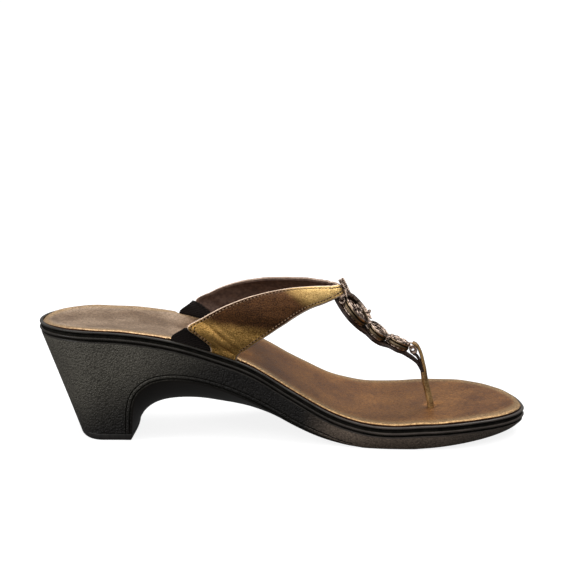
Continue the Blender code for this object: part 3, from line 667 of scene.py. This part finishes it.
place, link = finish("footbed_leather", 0.42, 0.5, 0.92)
forward = place.axis(0)
cloud, fine, pores = place.noise(38, 5, 0.6), place.noise(800, 3, 0.65), place.cells(1500)
bronze = cloud.band(0.3, 0.7).mix((0.26, 0.108, 0.028), (0.43, 0.215, 0.074))
# Painted reflection: the seat at the heel is paler and greyer than the bronze forefoot, standing for white
# light reflected by the metallic leather.
seat = cloud.band(0.32, 0.70).mix((0.43, 0.30, 0.20), (0.77, 0.62, 0.49))
toned = forward.band(-0.02, -0.06).mix(bronze, seat)
from_edge = place.add("Attribute", {"attribute_name": "from_rim"}, result=2)
inset = from_edge + cloud * 6.0 - 3.0
# Painted shade: the face is darker away from its edge, towards the middle.
toned = inset.band(3.0, 15.0).mix(toned, toned.tint((0.74, 0.68, 0.62)))
# Painted highlight: a band of bright gold along the rolled edge, stronger at the heel than at the toe.
painted_edge_highlight = forward.band(0.02, -0.08).mix((0.42, 0.27, 0.13), (0.64, 0.44, 0.25))
toned = inset.band(10.0, 3.5).mix(toned, painted_edge_highlight)
# Painted shadow: a dark red-brown line where the rolled edge turns under onto the lip.
toned = from_edge.band(1.95, 1.65).mix(toned, (0.045, 0.014, 0.007))
fleck = (fine * 0.9 + pores * 0.2).band(0.44, 0.64).mix((0.45, 0.36, 0.28), (1.15, 1.12, 1.05))
footbed_leather = link(toned.tint(fleck, 0.62), fine - pores * 0.6, 0.00022, Roughness=cloud * 0.25 + 0.26)
dress(footbed, [footbed_leather], ["insole"])


# ------------------------------------------------------------------------------------------ upper
# Two straps of metallic leather over a thin lining, with raw edges, joined where they cross.
# Each goes down between the rim and the footbed, is stitched along both edges, and has folds
# pressed into it above its foot and beside the ornament.

STRAP_THICK = 1.9                # leather and lining together
LAYER_GAP = 0.02                 # half the gap between them
SEAM, SECOND_SEAM = 1.65, 3.5    # how far in from an edge the two rows of stitching lie
EDGE_STEPS = np.array([0, 0.35, 0.8, 1.25, SEAM, 2.05, 2.6, SECOND_SEAM])    # rows beside an edge
# Each strap from its foot to the crossing: its rear edge's station, y and height, its front
# edge's, and how far it is bowed out between them.
inner_strap = [(90.0, -27.4, 46.2, 102.4, -27.8, 41.8, 0.0), (89.4, -27.8, 50.8, 104.2, -28.4, 46.4, 0.0),
               (84.0, -29.6, 55.8, 108.0, -30.6, 49.4, 0.6), (78.6, -30.0, 60.5, 112.0, -31.4, 52.3, 1.0),
               (86.5, -30.0, 65.4, 117.0, -31.4, 55.6, 1.2), (95.5, -29.0, 70.0, 122.5, -30.2, 59.0, 1.4),
               (105.0, -26.6, 73.4, 128.5, -27.6, 62.3, 1.4), (115.0, -23.0, 75.7, 134.5, -23.4, 65.4, 1.3),
               (126.0, -18.6, 77.1, 141.0, -18.4, 67.8, 1.1), (137.0, -13.5, 77.3, 147.5, -13.6, 69.1, 0.9),
               (146.5, -9.2, 76.9, 152.6, -9.6, 70.5, 0.6), (152.2, -6.2, 76.6, 155.8, -7.2, 71.7, 0.4)]
outer_strap = [(90.0, 32.9, 46.2, 102.4, 34.9, 41.8, 0.0), (89.4, 33.3, 50.8, 104.2, 35.6, 46.4, 0.0),
               (84.0, 35.0, 55.6, 108.0, 38.0, 49.4, 0.6), (78.8, 35.3, 60.0, 112.0, 39.0, 52.2, 1.0),
               (86.5, 36.2, 64.2, 117.0, 39.4, 55.3, 1.2), (95.5, 36.2, 68.0, 122.5, 38.6, 58.6, 1.4),
               (105.0, 34.4, 70.9, 128.5, 35.8, 61.8, 1.4), (115.0, 30.6, 73.0, 134.5, 31.0, 64.9, 1.3),
               (126.0, 24.8, 74.6, 141.0, 24.6, 67.4, 1.1), (137.0, 17.2, 75.8, 147.5, 17.0, 69.0, 0.9),
               (146.5, 9.0, 76.4, 152.6, 8.8, 70.7, 0.6), (152.2, 2.2, 76.6, 156.0, 1.4, 71.8, 0.4)]
crossing = (154.2, -3.2, 76.6, 156.8, -3.6, 72.0, 0.3)
band = through(inner_strap + [crossing] + outer_strap[::-1], 10)
rears, fronts, bows = band[:, :3], band[:, 3:6], band[:, 6]
outward = normed(-np.cross(np.gradient(rears + fronts, axis=0), fronts - rears))
widths = np.linalg.norm(fronts - rears, axis=1)


def travelled(line):
    """Distance along a line of points, at each of them."""
    return np.concatenate([[0], np.cumsum(np.linalg.norm(np.diff(line, axis=0), axis=1))])


run = travelled((rears + fronts) / 2)

# Folds: the ends of each as station and height on the strap, its depth and its width.
folds = [((86.5, 63.5), (103.5, 49.0), 0.75, 1.1), ((91.0, 55.0), (101.0, 46.5), 0.55, 0.9),
         ((93.0, 62.0), (104.0, 53.5), 0.3, 1.0), ((97.0, 66.0), (112.0, 55.5), 0.25, 2.4),
         ((150.3, 77.0), (153.4, 71.5), 0.5, 0.7), ((147.6, 76.5), (151.0, 71.5), 0.3, 0.7)]


def fold_depth(points):
    """How far the leather is pressed in at each point by the folds."""
    depth = np.zeros(points.shape[:-1])
    for (x0, z0), (x1, z1), deep, wide in folds:
        line = np.array([x1 - x0, z1 - z0])
        length = np.hypot(*line)
        local = np.stack([points[..., 0] - x0, points[..., 2] - z0], axis=-1)
        on = (local @ line) / length ** 2
        off = (local[..., 0] * line[1] - local[..., 1] * line[0]) / length
        fade = np.exp(-np.maximum(np.abs(on - 0.5) - 0.4, 0) ** 2 / 0.02)
        depth += deep * fade * (np.exp(-(off / wide) ** 2)
                                - 0.45 * np.exp(-((off - 2.2 * wide) / (1.5 * wide)) ** 2))
    return depth


def pressed(points, nearest):
    """How far the leather lies below its plain shape: folds, waves, the seam and the edge."""
    seam = 0.14 * np.exp(-((nearest - SEAM) / 0.45) ** 2) + 0.25 * np.exp(-(nearest / 0.5) ** 2)
    return seam + fold_depth(points) - 0.14 * np.sin(run * 0.42) * np.sin(run * 0.13 + nearest * 0.35)


def strap_points(from_rear):
    """Points of the strap's middle layer, this far from its rear edge (one array per column)."""
    share = (from_rear / widths)[:, None]
    return rears + (fronts - rears) * share + outward * (bows[:, None] * 4 * share * (1 - share))


squeeze = np.minimum(1, widths * 0.42 / EDGE_STEPS[-1])


def strap_sheet(name, lift, trim, across_steps):
    """One layer of the straps as a sheet, this far off their middle and trimmed at the edges."""
    steps = np.maximum(EDGE_STEPS, trim)
    from_rear = [step * squeeze for step in steps]
    from_rear += [EDGE_STEPS[-1] * squeeze + (widths - 2 * EDGE_STEPS[-1] * squeeze) * share
                  for share in np.linspace(0, 1, across_steps)[1:-1]]
    from_rear += [widths - step * squeeze for step in steps[::-1]]
    layer_rows = np.array([strap_points(distance) for distance in from_rear])
    nearest = np.minimum(np.array(from_rear), widths - np.array(from_rear))
    layer_rows = layer_rows + outward[None] * (lift - pressed(layer_rows, nearest))[..., None]
    sheet = skin(name, layer_rows[::-1], closed=False)
    mark(sheet, "from_edge", nearest[::-1])
    mark(sheet, "run", np.broadcast_to(run, nearest.shape))
    return sheet


def wall(piece, thick, edge_round):
    """Give a sheet its thickness, its back as material 1 and its edge as 2, and round its edges."""
    solid = piece.modifiers.new("solid", "SOLIDIFY")
    solid.thickness = thick * 0.001
    solid.offset = 0
    solid.use_even_offset = False
    solid.material_offset = 1
    solid.material_offset_rim = 2
    for slot in range(3):
        piece.data.materials.append(None)
    bpy.ops.object.modifier_apply(modifier="solid")
    round_edges(piece, edge_round, 2, 60, 2)


place, link = finish("metallic_leather", 0.44, 0.4, 0.84)
length = place.add("Attribute", {"attribute_name": "run"}, result=2)
edge = place.add("Attribute", {"attribute_name": "from_edge"}, result=2)
cloud, fine, pores = place.noise(45, 4, 0.6), place.noise(1700, 2, 0.7), place.cells(1600)
from_foot = place.add("Math", {"operation": "PINGPONG"}, i0=length, i1=float(run[-1]) / 2)
forward, height = place.axis(0), place.axis(2)
# Painted reflections on the metallic leather: brown over the middle of each strap as painted shade, and
# bright gold at its foot and at its tip beside the ornament as painted sheen.
painted_shade_band = (height + forward * 0.18 + cloud * 0.007 - 0.0035).band(0.0530, 0.0595)
painted_shade_band = painted_shade_band * (from_foot - height * 400.0 + cloud * 6.0 + 26.5).band(62, 54)
grit = (fine * 0.7 + cloud * 0.3).band(0.36, 0.64)
gold_and_painted_sheen = grit.mix((0.28, 0.146, 0.035), (0.76, 0.445, 0.134))
# A darker gold up the strap and a bright gold at its tip: painted shade and painted sheen.
gold_and_painted_sheen = from_foot.band(30, 50).mix(gold_and_painted_sheen, grit.mix((0.17, 0.092, 0.026), (0.42, 0.262, 0.088)))
gold_and_painted_sheen = from_foot.band(57, 79).mix(gold_and_painted_sheen, grit.mix((0.48, 0.280, 0.088), (0.97, 0.675, 0.272)))
tone = painted_shade_band.mix(gold_and_painted_sheen, grit.mix((0.017, 0.0062, 0.0020), (0.098, 0.040, 0.0128)))
sewn_line = edge.band(1.1, 1.45) * edge.band(2.2, 1.85)
rubbed = edge.band(0.75, 0.35).mix(tone.tint((0.30, 0.22, 0.18), sewn_line * 0.35), (0.66, 0.50, 0.38))
metallic_leather = link(rubbed, fine * 0.7 - pores * 0.9, 0.00016, Roughness=fine * 0.25 + 0.28)

strap_lining = mottled("strap_lining", 0.7, 0.3, 500, 3, (0.06, 0.032, 0.022), (0.11, 0.062, 0.042),
                       0.0001)
raw_edge = mottled("raw_edge", 0.6, 0.35, 800, 3, (0.42, 0.29, 0.21), (0.70, 0.53, 0.42), 0.0001)
straps = strap_sheet("strap_upper", STRAP_THICK / 4 + LAYER_GAP, 0.0, 44)
wall(straps, STRAP_THICK / 2, 0.25)
dress(straps, [metallic_leather, strap_lining, raw_edge], ["upper"], smooth=60)
lining = strap_sheet("strap_lining", -STRAP_THICK / 4 - LAYER_GAP, 0.35, 16)
wall(lining, STRAP_THICK / 2, 0.2)
dress(lining, [strap_lining] * 3, smooth=60)


# -------------------------------------------------------------------------------------- stitching
# Lockstitch in tan thread, a row along each edge of the straps and a second row beside the rear
# edge of each foot.  Every stitch is a short fat dash that sinks into a needle hole, drawn as a dark disc of
# painted shade.

STITCH_LONG, STITCH_PITCH = 1.0, 1.9    # length of a stitch, and distance from one to the next
THREAD, HOLE = 0.28, 0.5                # radius of the thread and of a needle hole


def gather(pieces, name):
    """Join pieces into one mesh under a name."""
    pick(*pieces)
    bpy.ops.object.join()
    joined = bpy.context.object
    joined.name = joined.data.name = name
    return joined


waxed_thread = mottled("waxed_thread", 0.5, 0.4, 2500, 2, (0.17, 0.10, 0.055), (0.33, 0.21, 0.12),
                       0.00005)
# Painted shade: a near-black disc under each stitch stands for the shade inside its needle hole.
needle_hole_shade = mottled("needle_hole_shade", 0.8, 0.05, 2000, 2, (0.006, 0.003, 0.002), (0.02, 0.011, 0.007),
                      0.00003)

dash = made(bpy.ops.mesh.primitive_cylinder_add, "dash", vertices=6, radius=THREAD * 0.001,
            depth=STITCH_LONG * 0.001, rotation=(0, math.pi / 2, 0))
bpy.ops.object.transform_apply(rotation=True)
bpy.ops.object.mode_set(mode="EDIT")
for cut in (0.0003, -0.0003):
    bpy.ops.mesh.select_all(action="SELECT")
    bpy.ops.mesh.bisect(plane_co=(cut, 0, 0), plane_no=(1, 0, 0))
bpy.ops.object.mode_set(mode="OBJECT")
for vertex in dash.data.vertices:
    if abs(vertex.co.x) > 0.0005:
        vertex.co.y *= 0.55
        vertex.co.z = vertex.co.z * 0.55 - 0.00016
hole = made(bpy.ops.mesh.primitive_circle_add, "hole", vertices=10, radius=HOLE * 0.001,
            fill_type="TRIFAN", location=(STITCH_PITCH * 0.0005, 0, -0.00002))
hole.scale = (0.9, 0.85, 1)
bpy.ops.object.transform_apply(location=True, scale=True)
for piece in (dash, hole):
    piece.data.materials.append(waxed_thread)
    piece.data.materials.append(needle_hole_shade)
for face in hole.data.polygons:
    face.material_index = 1
dash = gather([dash, hole], "dash")
bpy.ops.object.shade_smooth()


def stitch_row(points, normals, first, final):
    """Copies of the dash, one every pitch between two places along a line of points."""
    places = travelled(points)

    def read(rows, place):
        return [np.interp(place, places, column) for column in rows.T]

    sewn = []
    for middle in np.arange(places[first] + 1.2, places[final] - 0.6, STITCH_PITCH):
        at = read(points, middle)
        forward = (Vector(read(points, middle + 0.4)) - Vector(at)).normalized()
        side = Vector(read(normals, middle)).normalized().cross(forward).normalized()
        copy = bpy.data.objects.new("stitch", dash.data.copy())
        bpy.context.collection.objects.link(copy)
        turn = Matrix((forward, side, forward.cross(side))).transposed().to_4x4()
        copy.matrix_world = Matrix.Translation(metres(at)) @ turn
        sewn.append(copy)
    return sewn


def stitch_line(offset, from_front=False):
    """Points on the outer face of the straps, this far from one edge, and their normals."""
    inset = np.minimum(offset, widths * 0.3)
    middle = strap_points(widths - inset if from_front else inset)
    lift = STRAP_THICK / 2 + 0.13 - pressed(middle, inset)
    return middle + outward * lift[:, None], outward


FOOT, FOOT_TOP = 14, 33    # points along the straps where stitching starts and its second row ends
end = len(run) - 1
stitches = stitch_row(*stitch_line(SEAM), FOOT, end - FOOT)
stitches += stitch_row(*stitch_line(SEAM, True), FOOT, end - FOOT)
stitches += stitch_row(*stitch_line(SECOND_SEAM), FOOT, FOOT_TOP)
stitches += stitch_row(*stitch_line(SECOND_SEAM), end - FOOT_TOP, end - FOOT)
bpy.data.objects.remove(dash)
stitching = gather(stitches, "strap_stitching")
bpy.ops.object.transform_apply(location=True, rotation=True, scale=True)
dress(stitching, [waxed_thread, needle_hole_shade])


# ------------------------------------------------------------------------------------ elastic gores
# Black ribbed elastic, sewn behind each strap's rear corner and let in beside the footbed, so
# that the strap can give.  The ribs run from the rim to the strap.

GORE_LONG = 20.0             # from its rear corner to the strap's foot, along the rim
RIB, BULGE = 0.13, 0.5       # height of a rib, and how far the elastic is bowed out
# From the rear edge to the front one: the rim end's distance forward, rise and lean toward the
# strap, then how far behind the strap's edge, below it and within it the upper end lies.
gore_rows = [(0.0, -2.7, 0.0, 0.2, 0.0, 0.0), (0.4, 0.4, 0.0, 0.0, 0.4, 0.5),
             (4.0, 3.0, 0.35, -1.2, 0.7, 1.4), (6.8, 4.8, 1.0, -1.2, 0.9, 1.4)]
place, link = finish("ribbed_elastic", 0.75, 0.12)
knit = place.cells(1800)
ribbed_elastic = link(knit.band(0.1, 0.6).mix((0.003, 0.002, 0.002), (0.011, 0.008, 0.007)), knit, 0.00012)
for name, strap, side, node in (("gore_inner", inner_strap, -1, "gore_medial"),
                                ("gore_outer", outer_strap, 1, "gore_lateral")):
    foot = strap[0][0] - GORE_LONG
    wall_line = float(rim_y(foot, np.array(float(side)))) - side * (SEAT_IN + 0.3 + 1.0)
    out = strap[3][1] - wall_line
    ends = np.array([((foot + forward, wall_line + out * lean, float(bed(foot)[0]) + rise),
                      (beside[0] - behind, beside[1] - side * within, beside[2] - below))
                     for (forward, rise, lean, behind, below, within), beside in zip(gore_rows, strap)])
    ends = through(ends, 16)
    shares = np.linspace(0, 1, 25)
    grid = ends[None, :, 0] + (ends[None, :, 1] - ends[None, :, 0]) * shares[:, None, None]
    ribs = RIB * np.cos(np.arange(grid.shape[1]) * 2 * np.pi / 4)
    grid[:, :, 1] += side * (ribs[None, :] + BULGE * np.sin(shares * np.pi)[:, None])
    gore = skin(name, grid, closed=False)
    wall(gore, 1.0, 0.2)
    dress(gore, [ribbed_elastic] * 3, [node])


# ------------------------------------------------------------------------------- ornament's tongue
# The leather that carries the ornament, cut in three scallops and folded down at its end over
# the toe post's loop.  The medallions are riveted through it.

# The medallions: station, y, height, radius, and the angles by which the face falls to the toe
# and tilts to the inner side.
medals = [(164.6, -3.6, 64.0, 9.4, 49, 8), (175.8, -4.5, 53.3, 6.1, 38, 9), (186.5, -6.0, 47.7, 6.0, 25, -1)]
MEDAL_FOOT = -3.9              # foot of a medallion, below its own middle
below = MEDAL_FOOT - 0.75      # middle of the tongue's leather, which lies just under the foot
# The tongue: station, y, height, half width, tilt.
tongue_table = [(151.6, -3.3, 74.8, 4.0, 4), (152.6, -3.3, 72.4, 4.6, 4), (153.9, -3.3, 69.3, 4.8, 4)]
for x, y, z, radius, fall, tilt in medals:
    turn = math.radians(fall)
    for ahead, share in ((-0.72, 0.72), (0.0, 0.96), (0.72, 0.72)):
        reach = ahead * radius
        tongue_table.append((x + reach * math.cos(turn) + below * math.sin(turn), y,
                             z - reach * math.sin(turn) + below * math.cos(turn), share * radius, tilt))
tongue_table += [(194.9, -7.3, 37.4, 2.9, 0), (197.4, -7.8, 33.6, 2.5, 0), (198.4, -8.0, 31.4, 2.2, 0)]
spine = through(tongue_table, 6)
ahead = np.gradient(spine[:, :3], axis=0)
face = normed(np.column_stack([-ahead[:, 2], np.zeros(len(spine)), ahead[:, 0]]))
lean = np.radians(spine[:, 4])[:, None]
across_tongue = np.array([0, 1, 0]) * np.cos(lean) + face * np.sin(lean)
tongue_grid = [spine[:, :3] + across_tongue * spine[:, 3:4] * share
               for share in (-1, -0.94, -0.85, -0.7, -0.4, 0, 0.4, 0.7, 0.85, 0.94, 1)]
tongue = skin("ornament_tongue", tongue_grid[::-1], closed=False)
tongue_leather = mottled("tongue_leather", 0.45, 0.5, 700, 3, (0.015, 0.008, 0.006),
                         (0.044, 0.025, 0.019), 0.00012, metallic=0.35)
wall(tongue, 1.4, 0.35)
dress(tongue, [tongue_leather, strap_lining, tongue_leather], smooth=60)


# -------------------------------------------------------------------------------------- medallions
# Three cast copper-toned mounts, each turned with a rolled rim, a plump banded side and a rounded
# foot.  Scrolls of soldered wire lie in the cups, over a floor of dark red enamel.


def round_from(centre, reach, angle):
    """The x and y of a place at a reach and an angle from a centre."""
    return centre[0] + reach * math.cos(angle), centre[1] + reach * math.sin(angle)


def turned(name, profile, around=80):
    """A closed shape turned about the z axis of the frame, from a profile of radius and height."""
    outline = [(0, profile[0][1]), *profile, (0, profile[-1][1])]
    bearings = np.linspace(0, 2 * math.pi, around, endpoint=False)
    shape = skin(name, [[(*round_from((LENGTH / 2, 0), radius, angle), height) for angle in bearings]
                        for radius, height in outline])
    weld(shape)
    return shape


def wires(name, lines, thick, sides=2):
    """Soldered wires along the given lines of points, drawn as bevelled curves and made a mesh."""
    drawn = bpy.data.curves.new(name, "CURVE")
    drawn.dimensions = "3D"
    drawn.bevel_depth = thick * 0.001
    drawn.bevel_resolution = sides
    drawn.use_fill_caps = True
    for line in lines:
        spline = drawn.splines.new("POLY")
        spline.points.add(len(line) - 1)
        for point, place in zip(spline.points, line):
            point.co = (*(value * 0.001 for value in place), 1)
    piece = bpy.data.objects.new(name, drawn)
    bpy.context.collection.objects.link(piece)
    pick(piece)
    bpy.ops.object.convert(target="MESH")
    piece = bpy.context.object
    piece.data.name = name
    return piece


def spiral(centre, radius, start_angle, turns, height, rise):
    """A scroll that winds in to its centre."""
    angles = np.linspace(0, turns * 2 * math.pi, int(18 * turns) + 2)
    reach = radius * (1 - 0.8 * angles / angles[-1])
    return [(*round_from(centre, r, start_angle + a), height + rise * a / angles[-1])
            for r, a in zip(reach, angles)]


def bow(first, peak, last, height, crown):
    """A wire bent through three points in plan, raised towards its middle."""
    line = []
    for t in np.linspace(0, 1, 12):
        place = [(1 - t) ** 2 * a + 2 * t * (1 - t) * b + t * t * c for a, b, c in zip(first, peak, last)]
        line.append((place[0], place[1], height + crown * 4 * t * (1 - t)))
    return line


def hoop(radius, height, centre=(0, 0), steps=64):
    """A closed ring of wire."""
    return [(*round_from(centre, radius, a), height) for a in np.linspace(0, 2 * math.pi, steps + 1)]


def seat_frame(x, y, z, fall, tilt):
    """Turn and place of a medallion: its face falls to the toe and tilts to the inner side."""
    return (Matrix.Translation(metres((x, y, z)))
            @ Matrix.Rotation(math.radians(fall), 4, "Y") @ Matrix.Rotation(math.radians(tilt), 4, "X"))


place, link = finish("antique_copper", 0.32, 0.5, 0.9)
tarnish, pits = place.noise(300, 5, 0.65), place.noise(1400, 2)
# Lighter gold on convex edges: partly wear on the high spots, partly painted highlight.
wear_and_highlight = place.add("NewGeometry", result=7).band(0.51, 0.59)
dull = tarnish.band(0.35, 0.68).mix((0.009, 0.005, 0.003), (0.042, 0.026, 0.014))
antique_copper = link(wear_and_highlight.mix(dull, (0.48, 0.36, 0.22)), pits, 0.00005, Roughness=tarnish * 0.3 + 0.2)

place, link = finish("rubbed_wire", 0.28, 0.5, 0.95)
tarnish = place.noise(500, 4, 0.6)
rubbed_wire = link(tarnish.band(0.38, 0.58).mix((0.050, 0.032, 0.024), (0.60, 0.46, 0.37)), tarnish,
                   0.00004, Roughness=tarnish * 0.3 + 0.14)

dark_red_enamel = mottled("dark_red_enamel", 0.18, 0.3, 500, 3, (0.010, 0.002, 0.003), (0.05, 0.010, 0.012),
                          0.00003, 0.75, Coat_Weight=0.25, Coat_Roughness=0.08)

# The mount's side from its shoulder down: distance in from the radius, and height.
medal_wall = [(0.42, 0.42), (0.12, 0.22), (0.0, -0.1), (0.14, -0.42), (0.48, -0.62), (0.72, -0.8),
              (0.5, -1.0), (0.16, -1.3), (0.0, -1.75), (0.02, -2.2), (0.3, -2.65), (0.72, -2.9),
              (0.78, -3.02), (0.66, -3.14), (0.8, -3.34), (1.2, -3.62), (1.9, -3.86), (2.6, MEDAL_FOOT)]
for number, (x, y, z, radius, fall, tilt) in enumerate(medals, 1):
    name = f"medallion_{number}"
    cup = [(radius - inset, height) for inset, height in medal_wall[::-1]]
    cup += [(radius - 0.85, 0.45), (radius - 1.15, 0.2), (radius - 1.3, -0.9), (radius * 0.5, -1.2),
            (radius * 0.1, -1.2)]
    mount = turned(name + "_mount", cup)
    scrolls = []
    if number == 1:
        for bearing in (80, 200, 320):
            turn = math.radians(bearing)
            scrolls.append(spiral(round_from((0, 0), radius * 0.41, turn), radius * 0.335, turn + 2.6,
                                  1.6, -0.3, 1.0))
    else:
        tip = (radius * 0.74, 0.0)
        for spread in (-0.9, -0.3, 0.3, 0.9):
            root = (-radius * 0.70 * math.cos(spread * 0.9), radius * 0.74 * math.sin(spread * 1.1))
            scrolls.append(bow(root, (radius * 0.2, root[1] * 1.6), tip, -0.1, 0.85))
    wirework = [wires(f"{name}_filigree", scrolls, 0.42 if number == 1 else 0.36),
                wires(f"{name}_rim", [hoop(radius - 0.5, 0.36), hoop(radius - 0.72, -3.04)], 0.5)]
    if number == 3:
        curls = [hoop(0.8, 0.9, round_from((0, 0), radius - 1.0, math.radians(45 * k + 10)), 12)
                 for k in range(8)]
        wirework.append(wires("rim_curls", curls, 0.24))
    bright = gather(wirework, name + "_scrolls")
    enamel = turned(name + "_enamel", [(radius - 1.35, -1.05), (radius - 1.4, -0.95),
                                       (radius * 0.6, -0.75), (radius * 0.1, -0.6)], 48)
    for piece, material, nodes, smooth in ((mount, antique_copper, [name], 50),
                                           (bright, rubbed_wire, (), 60), (enamel, dark_red_enamel, (), 40)):
        piece.data.transform(seat_frame(x, y, z, fall, tilt))
        dress(piece, [material], nodes, smooth)


# --------------------------------------------------------------------------- bar at the strap ends
# A filigree bar of the same rubbed wire, clenched over the crossing of the straps.  It is wound
# round with fine wire, holds the first medallion by short spokes and a double wire along its far
# side, and the medallions are linked to each other in the same way.


def in_frame(medal, angle, reach, height):
    """A point over a medallion: its bearing from dead ahead, its distance out and its height."""
    local = Vector([value * 0.001 for value in (*round_from((0, 0), reach, angle), height)])
    return tuple(value * 1000 for value in seat_frame(*medal[:3], *medal[4:]) @ local)


def on_shoe(line):
    """A line of stations as a line measured from the middle of the shoe."""
    return [(px - LENGTH / 2, py, pz) for px, py, pz in line]


def coil(line, reach, turns):
    """A wire wound round a line of points."""
    line = np.array(line, float)
    share = np.linspace(0, 1, turns * 10)
    core = np.column_stack([np.interp(share, np.linspace(0, 1, len(line)), column) for column in line.T])
    forward = normed(np.gradient(core, axis=0))
    one = normed(np.cross(forward, (0.3, 0.2, 1.0)))
    two = np.cross(forward, one)
    angle = (share * turns * 2 * math.pi)[:, None]
    return core + (one * np.cos(angle) + two * np.sin(angle)) * reach


def upright(x, y, z, radius, sway=0.0, steps=16):
    """A ring of wire that stands along the shoe, its foot and top a little apart across it."""
    return [(x + radius * math.cos(a), y + sway * math.sin(a), z + radius * math.sin(a))
            for a in np.linspace(0, 2 * math.pi, steps + 1)]


first = medals[0]
bar = through([(155.6, -2.0, 79.0), (157.2, -4.0, 76.0), (158.6, -5.7, 73.1)], 6)
beside_bar = np.array([1.5, 1.6, 0.6])
keeper = through([(156.6, -9.3, 71.0), (157.5, -6.5, 71.3), (157.9, -3.5, 71.5), (157.5, 0.0, 72.3),
                  (156.6, 2.6, 73.2)], 5)
thick_wires = [on_shoe(line) for line in (bar, bar + beside_bar, keeper)]
fine_wires = [on_shoe(coil(bar, 0.75, 9)), on_shoe(coil(keeper, 0.8, 14))]
fine_wires += [on_shoe(through([bar[k] + (0.2, 0.1, 0.1), bar[k] + (0.9, 0.8, 1.0), bar[k] + beside_bar], 4))
               for k in (1, 4, 7, 10)]
for out in (0.0, 1.0):    # the double wire along the far side of the first medallion
    rail = [(station - LENGTH / 2 + out * 0.6, y + out, z)
            for station, y, z in ((155.9, 0.2, 78.7), (157.6, 1.4, 76.2))]
    rail += [in_frame(first, math.radians(angle), first[3] - 0.1 + out * 0.95, 0.9 + out * 0.15)
             for angle in (140, 120, 100, 80, 60, 40, 24)]
    thick_wires.append(through(rail, 6))
fine_wires += [on_shoe(upright(156.4, y, 69.6, 1.4, 0.4)) for y in (-9.4, -7.2, -5.0, -2.8)]
top = on_shoe(bar[-4:-3])[0]
for angle in (148, 164, 180, 196, 212):    # the spokes from the bar to the first medallion
    thick_wires.append([(top[0] + 0.4, top[1] + (180 - angle) * 0.05, top[2]),
                        in_frame(first, math.radians(angle), first[3] - 0.4, 0.2)])
fine_wires.append([in_frame(first, math.radians(46) + 0.10 * math.cos(a) * (1 - a / 14), first[3] - 0.2,
                            2.0 + 1.2 * math.sin(a) * (1 - a / 14)) for a in np.linspace(0, 11, 30)])
for before, after in zip(medals, medals[1:]):    # the links between the medallions
    ends = in_frame(before, 0.0, before[3], 0.0), in_frame(after, math.pi, after[3], 0.0)
    x, y, z = ((u + v) / 2 for u, v in zip(*ends))
    thick_wires += [[(x - lower * 0.5, y + aside, z - lower) for aside in (-3.2, 0.0, 3.2)]
                    for lower in (0.2, 1.2, 2.2)]
    fine_wires += [upright(x, y + aside, z - 1.2, 1.5, 0.3) for aside in (-3.0, -1.0, 1.0, 3.0)]
bar_piece = gather([wires("bar_rods", thick_wires, 0.5), wires("bar_wires", fine_wires, 0.3)], "crossing_bar")
dress(bar_piece, [rubbed_wire], ["strap_bar"], smooth=60)


# ------------------------------------------------------------------ end ring, loop and toe post
# The last medallion ends in a small ring.  A loop of gold leather folds over it and is sewn into
# the rounded post, which goes between the toes and down through the footbed.


def swept(name, path, half_thick, half_wide):
    """A bar of rounded section along a line of station, y, height and size, with rounded ends."""
    points = through(path, 8)
    forward = normed(np.gradient(points[:, :3], axis=0))
    wide = normed(np.array([0, 1, 0]) - forward * forward[:, 1:2])
    thick = np.cross(forward, wide)
    turn = np.linspace(0, 2 * math.pi, 20, endpoint=False)
    flat, deep = (np.sign(wave) * abs(wave) ** 0.75 * half
                  for wave, half in ((np.cos(turn), half_wide), (np.sin(turn), half_thick)))

    def ring(i, size, shift=0.0):
        centre = points[i, :3] + forward[i] * shift
        return centre + (wide[i] * flat[:, None] + thick[i] * deep[:, None]) * size * points[i, 3]

    final = len(points) - 1
    rounded = [(0.96, -0.25), (0.8, -0.5), (0.5, -0.62), (0.0, -0.66)]
    rows = [ring(0, size, shift * half_thick + 0.66 * half_thick) for size, shift in rounded[::-1]]
    rows += [ring(i, 1.0) for i in range(1, final)]
    rows += [ring(final, size, -shift * half_thick - 0.66 * half_thick) for size, shift in rounded]
    piece = skin(name, rows)
    weld(piece)
    return piece


hook_lines = [upright(193.4 - LENGTH / 2, y, 43.2, 1.45, steps=32) for y in (-9.0, -7.7, -6.3, -5.0)]
hook_lines += [on_shoe(through([(190.9, y, 45.3), (192.2, y, 46.0), (193.6, y, 45.6), (194.9, y, 44.0),
                                (194.7, y, 42.3)], 5)) for y in (-10.3, -3.7)]
ring_wire = wires("hook_ring", hook_lines, 0.45, 3)
dress(ring_wire, [rubbed_wire], ["end_ring"], smooth=60)

loop = swept("post_loop", [(193.0, -6.8, 46.8, 0.8), (194.4, -7.0, 46.3, 1.0), (196.0, -7.3, 44.6, 1.0),
                           (197.5, -7.6, 41.2, 1.0), (198.6, -7.9, 37.0, 1.0),
                           (199.6, -8.2, 33.0, 0.95), (199.8, -8.3, 31.0, 0.8)], 0.9, 2.75)
loop_back = swept("post_loop_back", [(193.4, -7.0, 41.2, 0.8), (195.3, -7.3, 40.2, 1.0),
                                     (197.0, -7.6, 37.4, 1.0), (198.3, -8.0, 34.0, 0.95),
                                     (199.0, -8.2, 31.4, 0.8)], 0.75, 2.3)
post = swept("toe_post", [(198.9, -8.1, 32.4, 0.95), (199.8, -8.4, 27.0, 1.0), (201.3, -9.0, 21.0, 1.0),
                          (202.6, -9.6, 15.5, 1.05), (*POST_FOOT, 11.6, 1.1)], 1.7, 2.5)
place, link = finish("thong_leather", 0.42, 0.5, 0.65)
fine, cloud = place.noise(900, 3, 0.7), place.noise(120, 3)
thong_leather = link((fine * 0.5 + cloud * 0.5).band(0.38, 0.62).mix((0.16, 0.085, 0.03), (0.48, 0.31, 0.13)),
                     fine, 0.00012, Roughness=fine * 0.25 + 0.28)
dress(loop, [thong_leather], ["post_loop"])
dress(loop_back, [tongue_leather])
dress(post, [thong_leather], ["toe_post"])
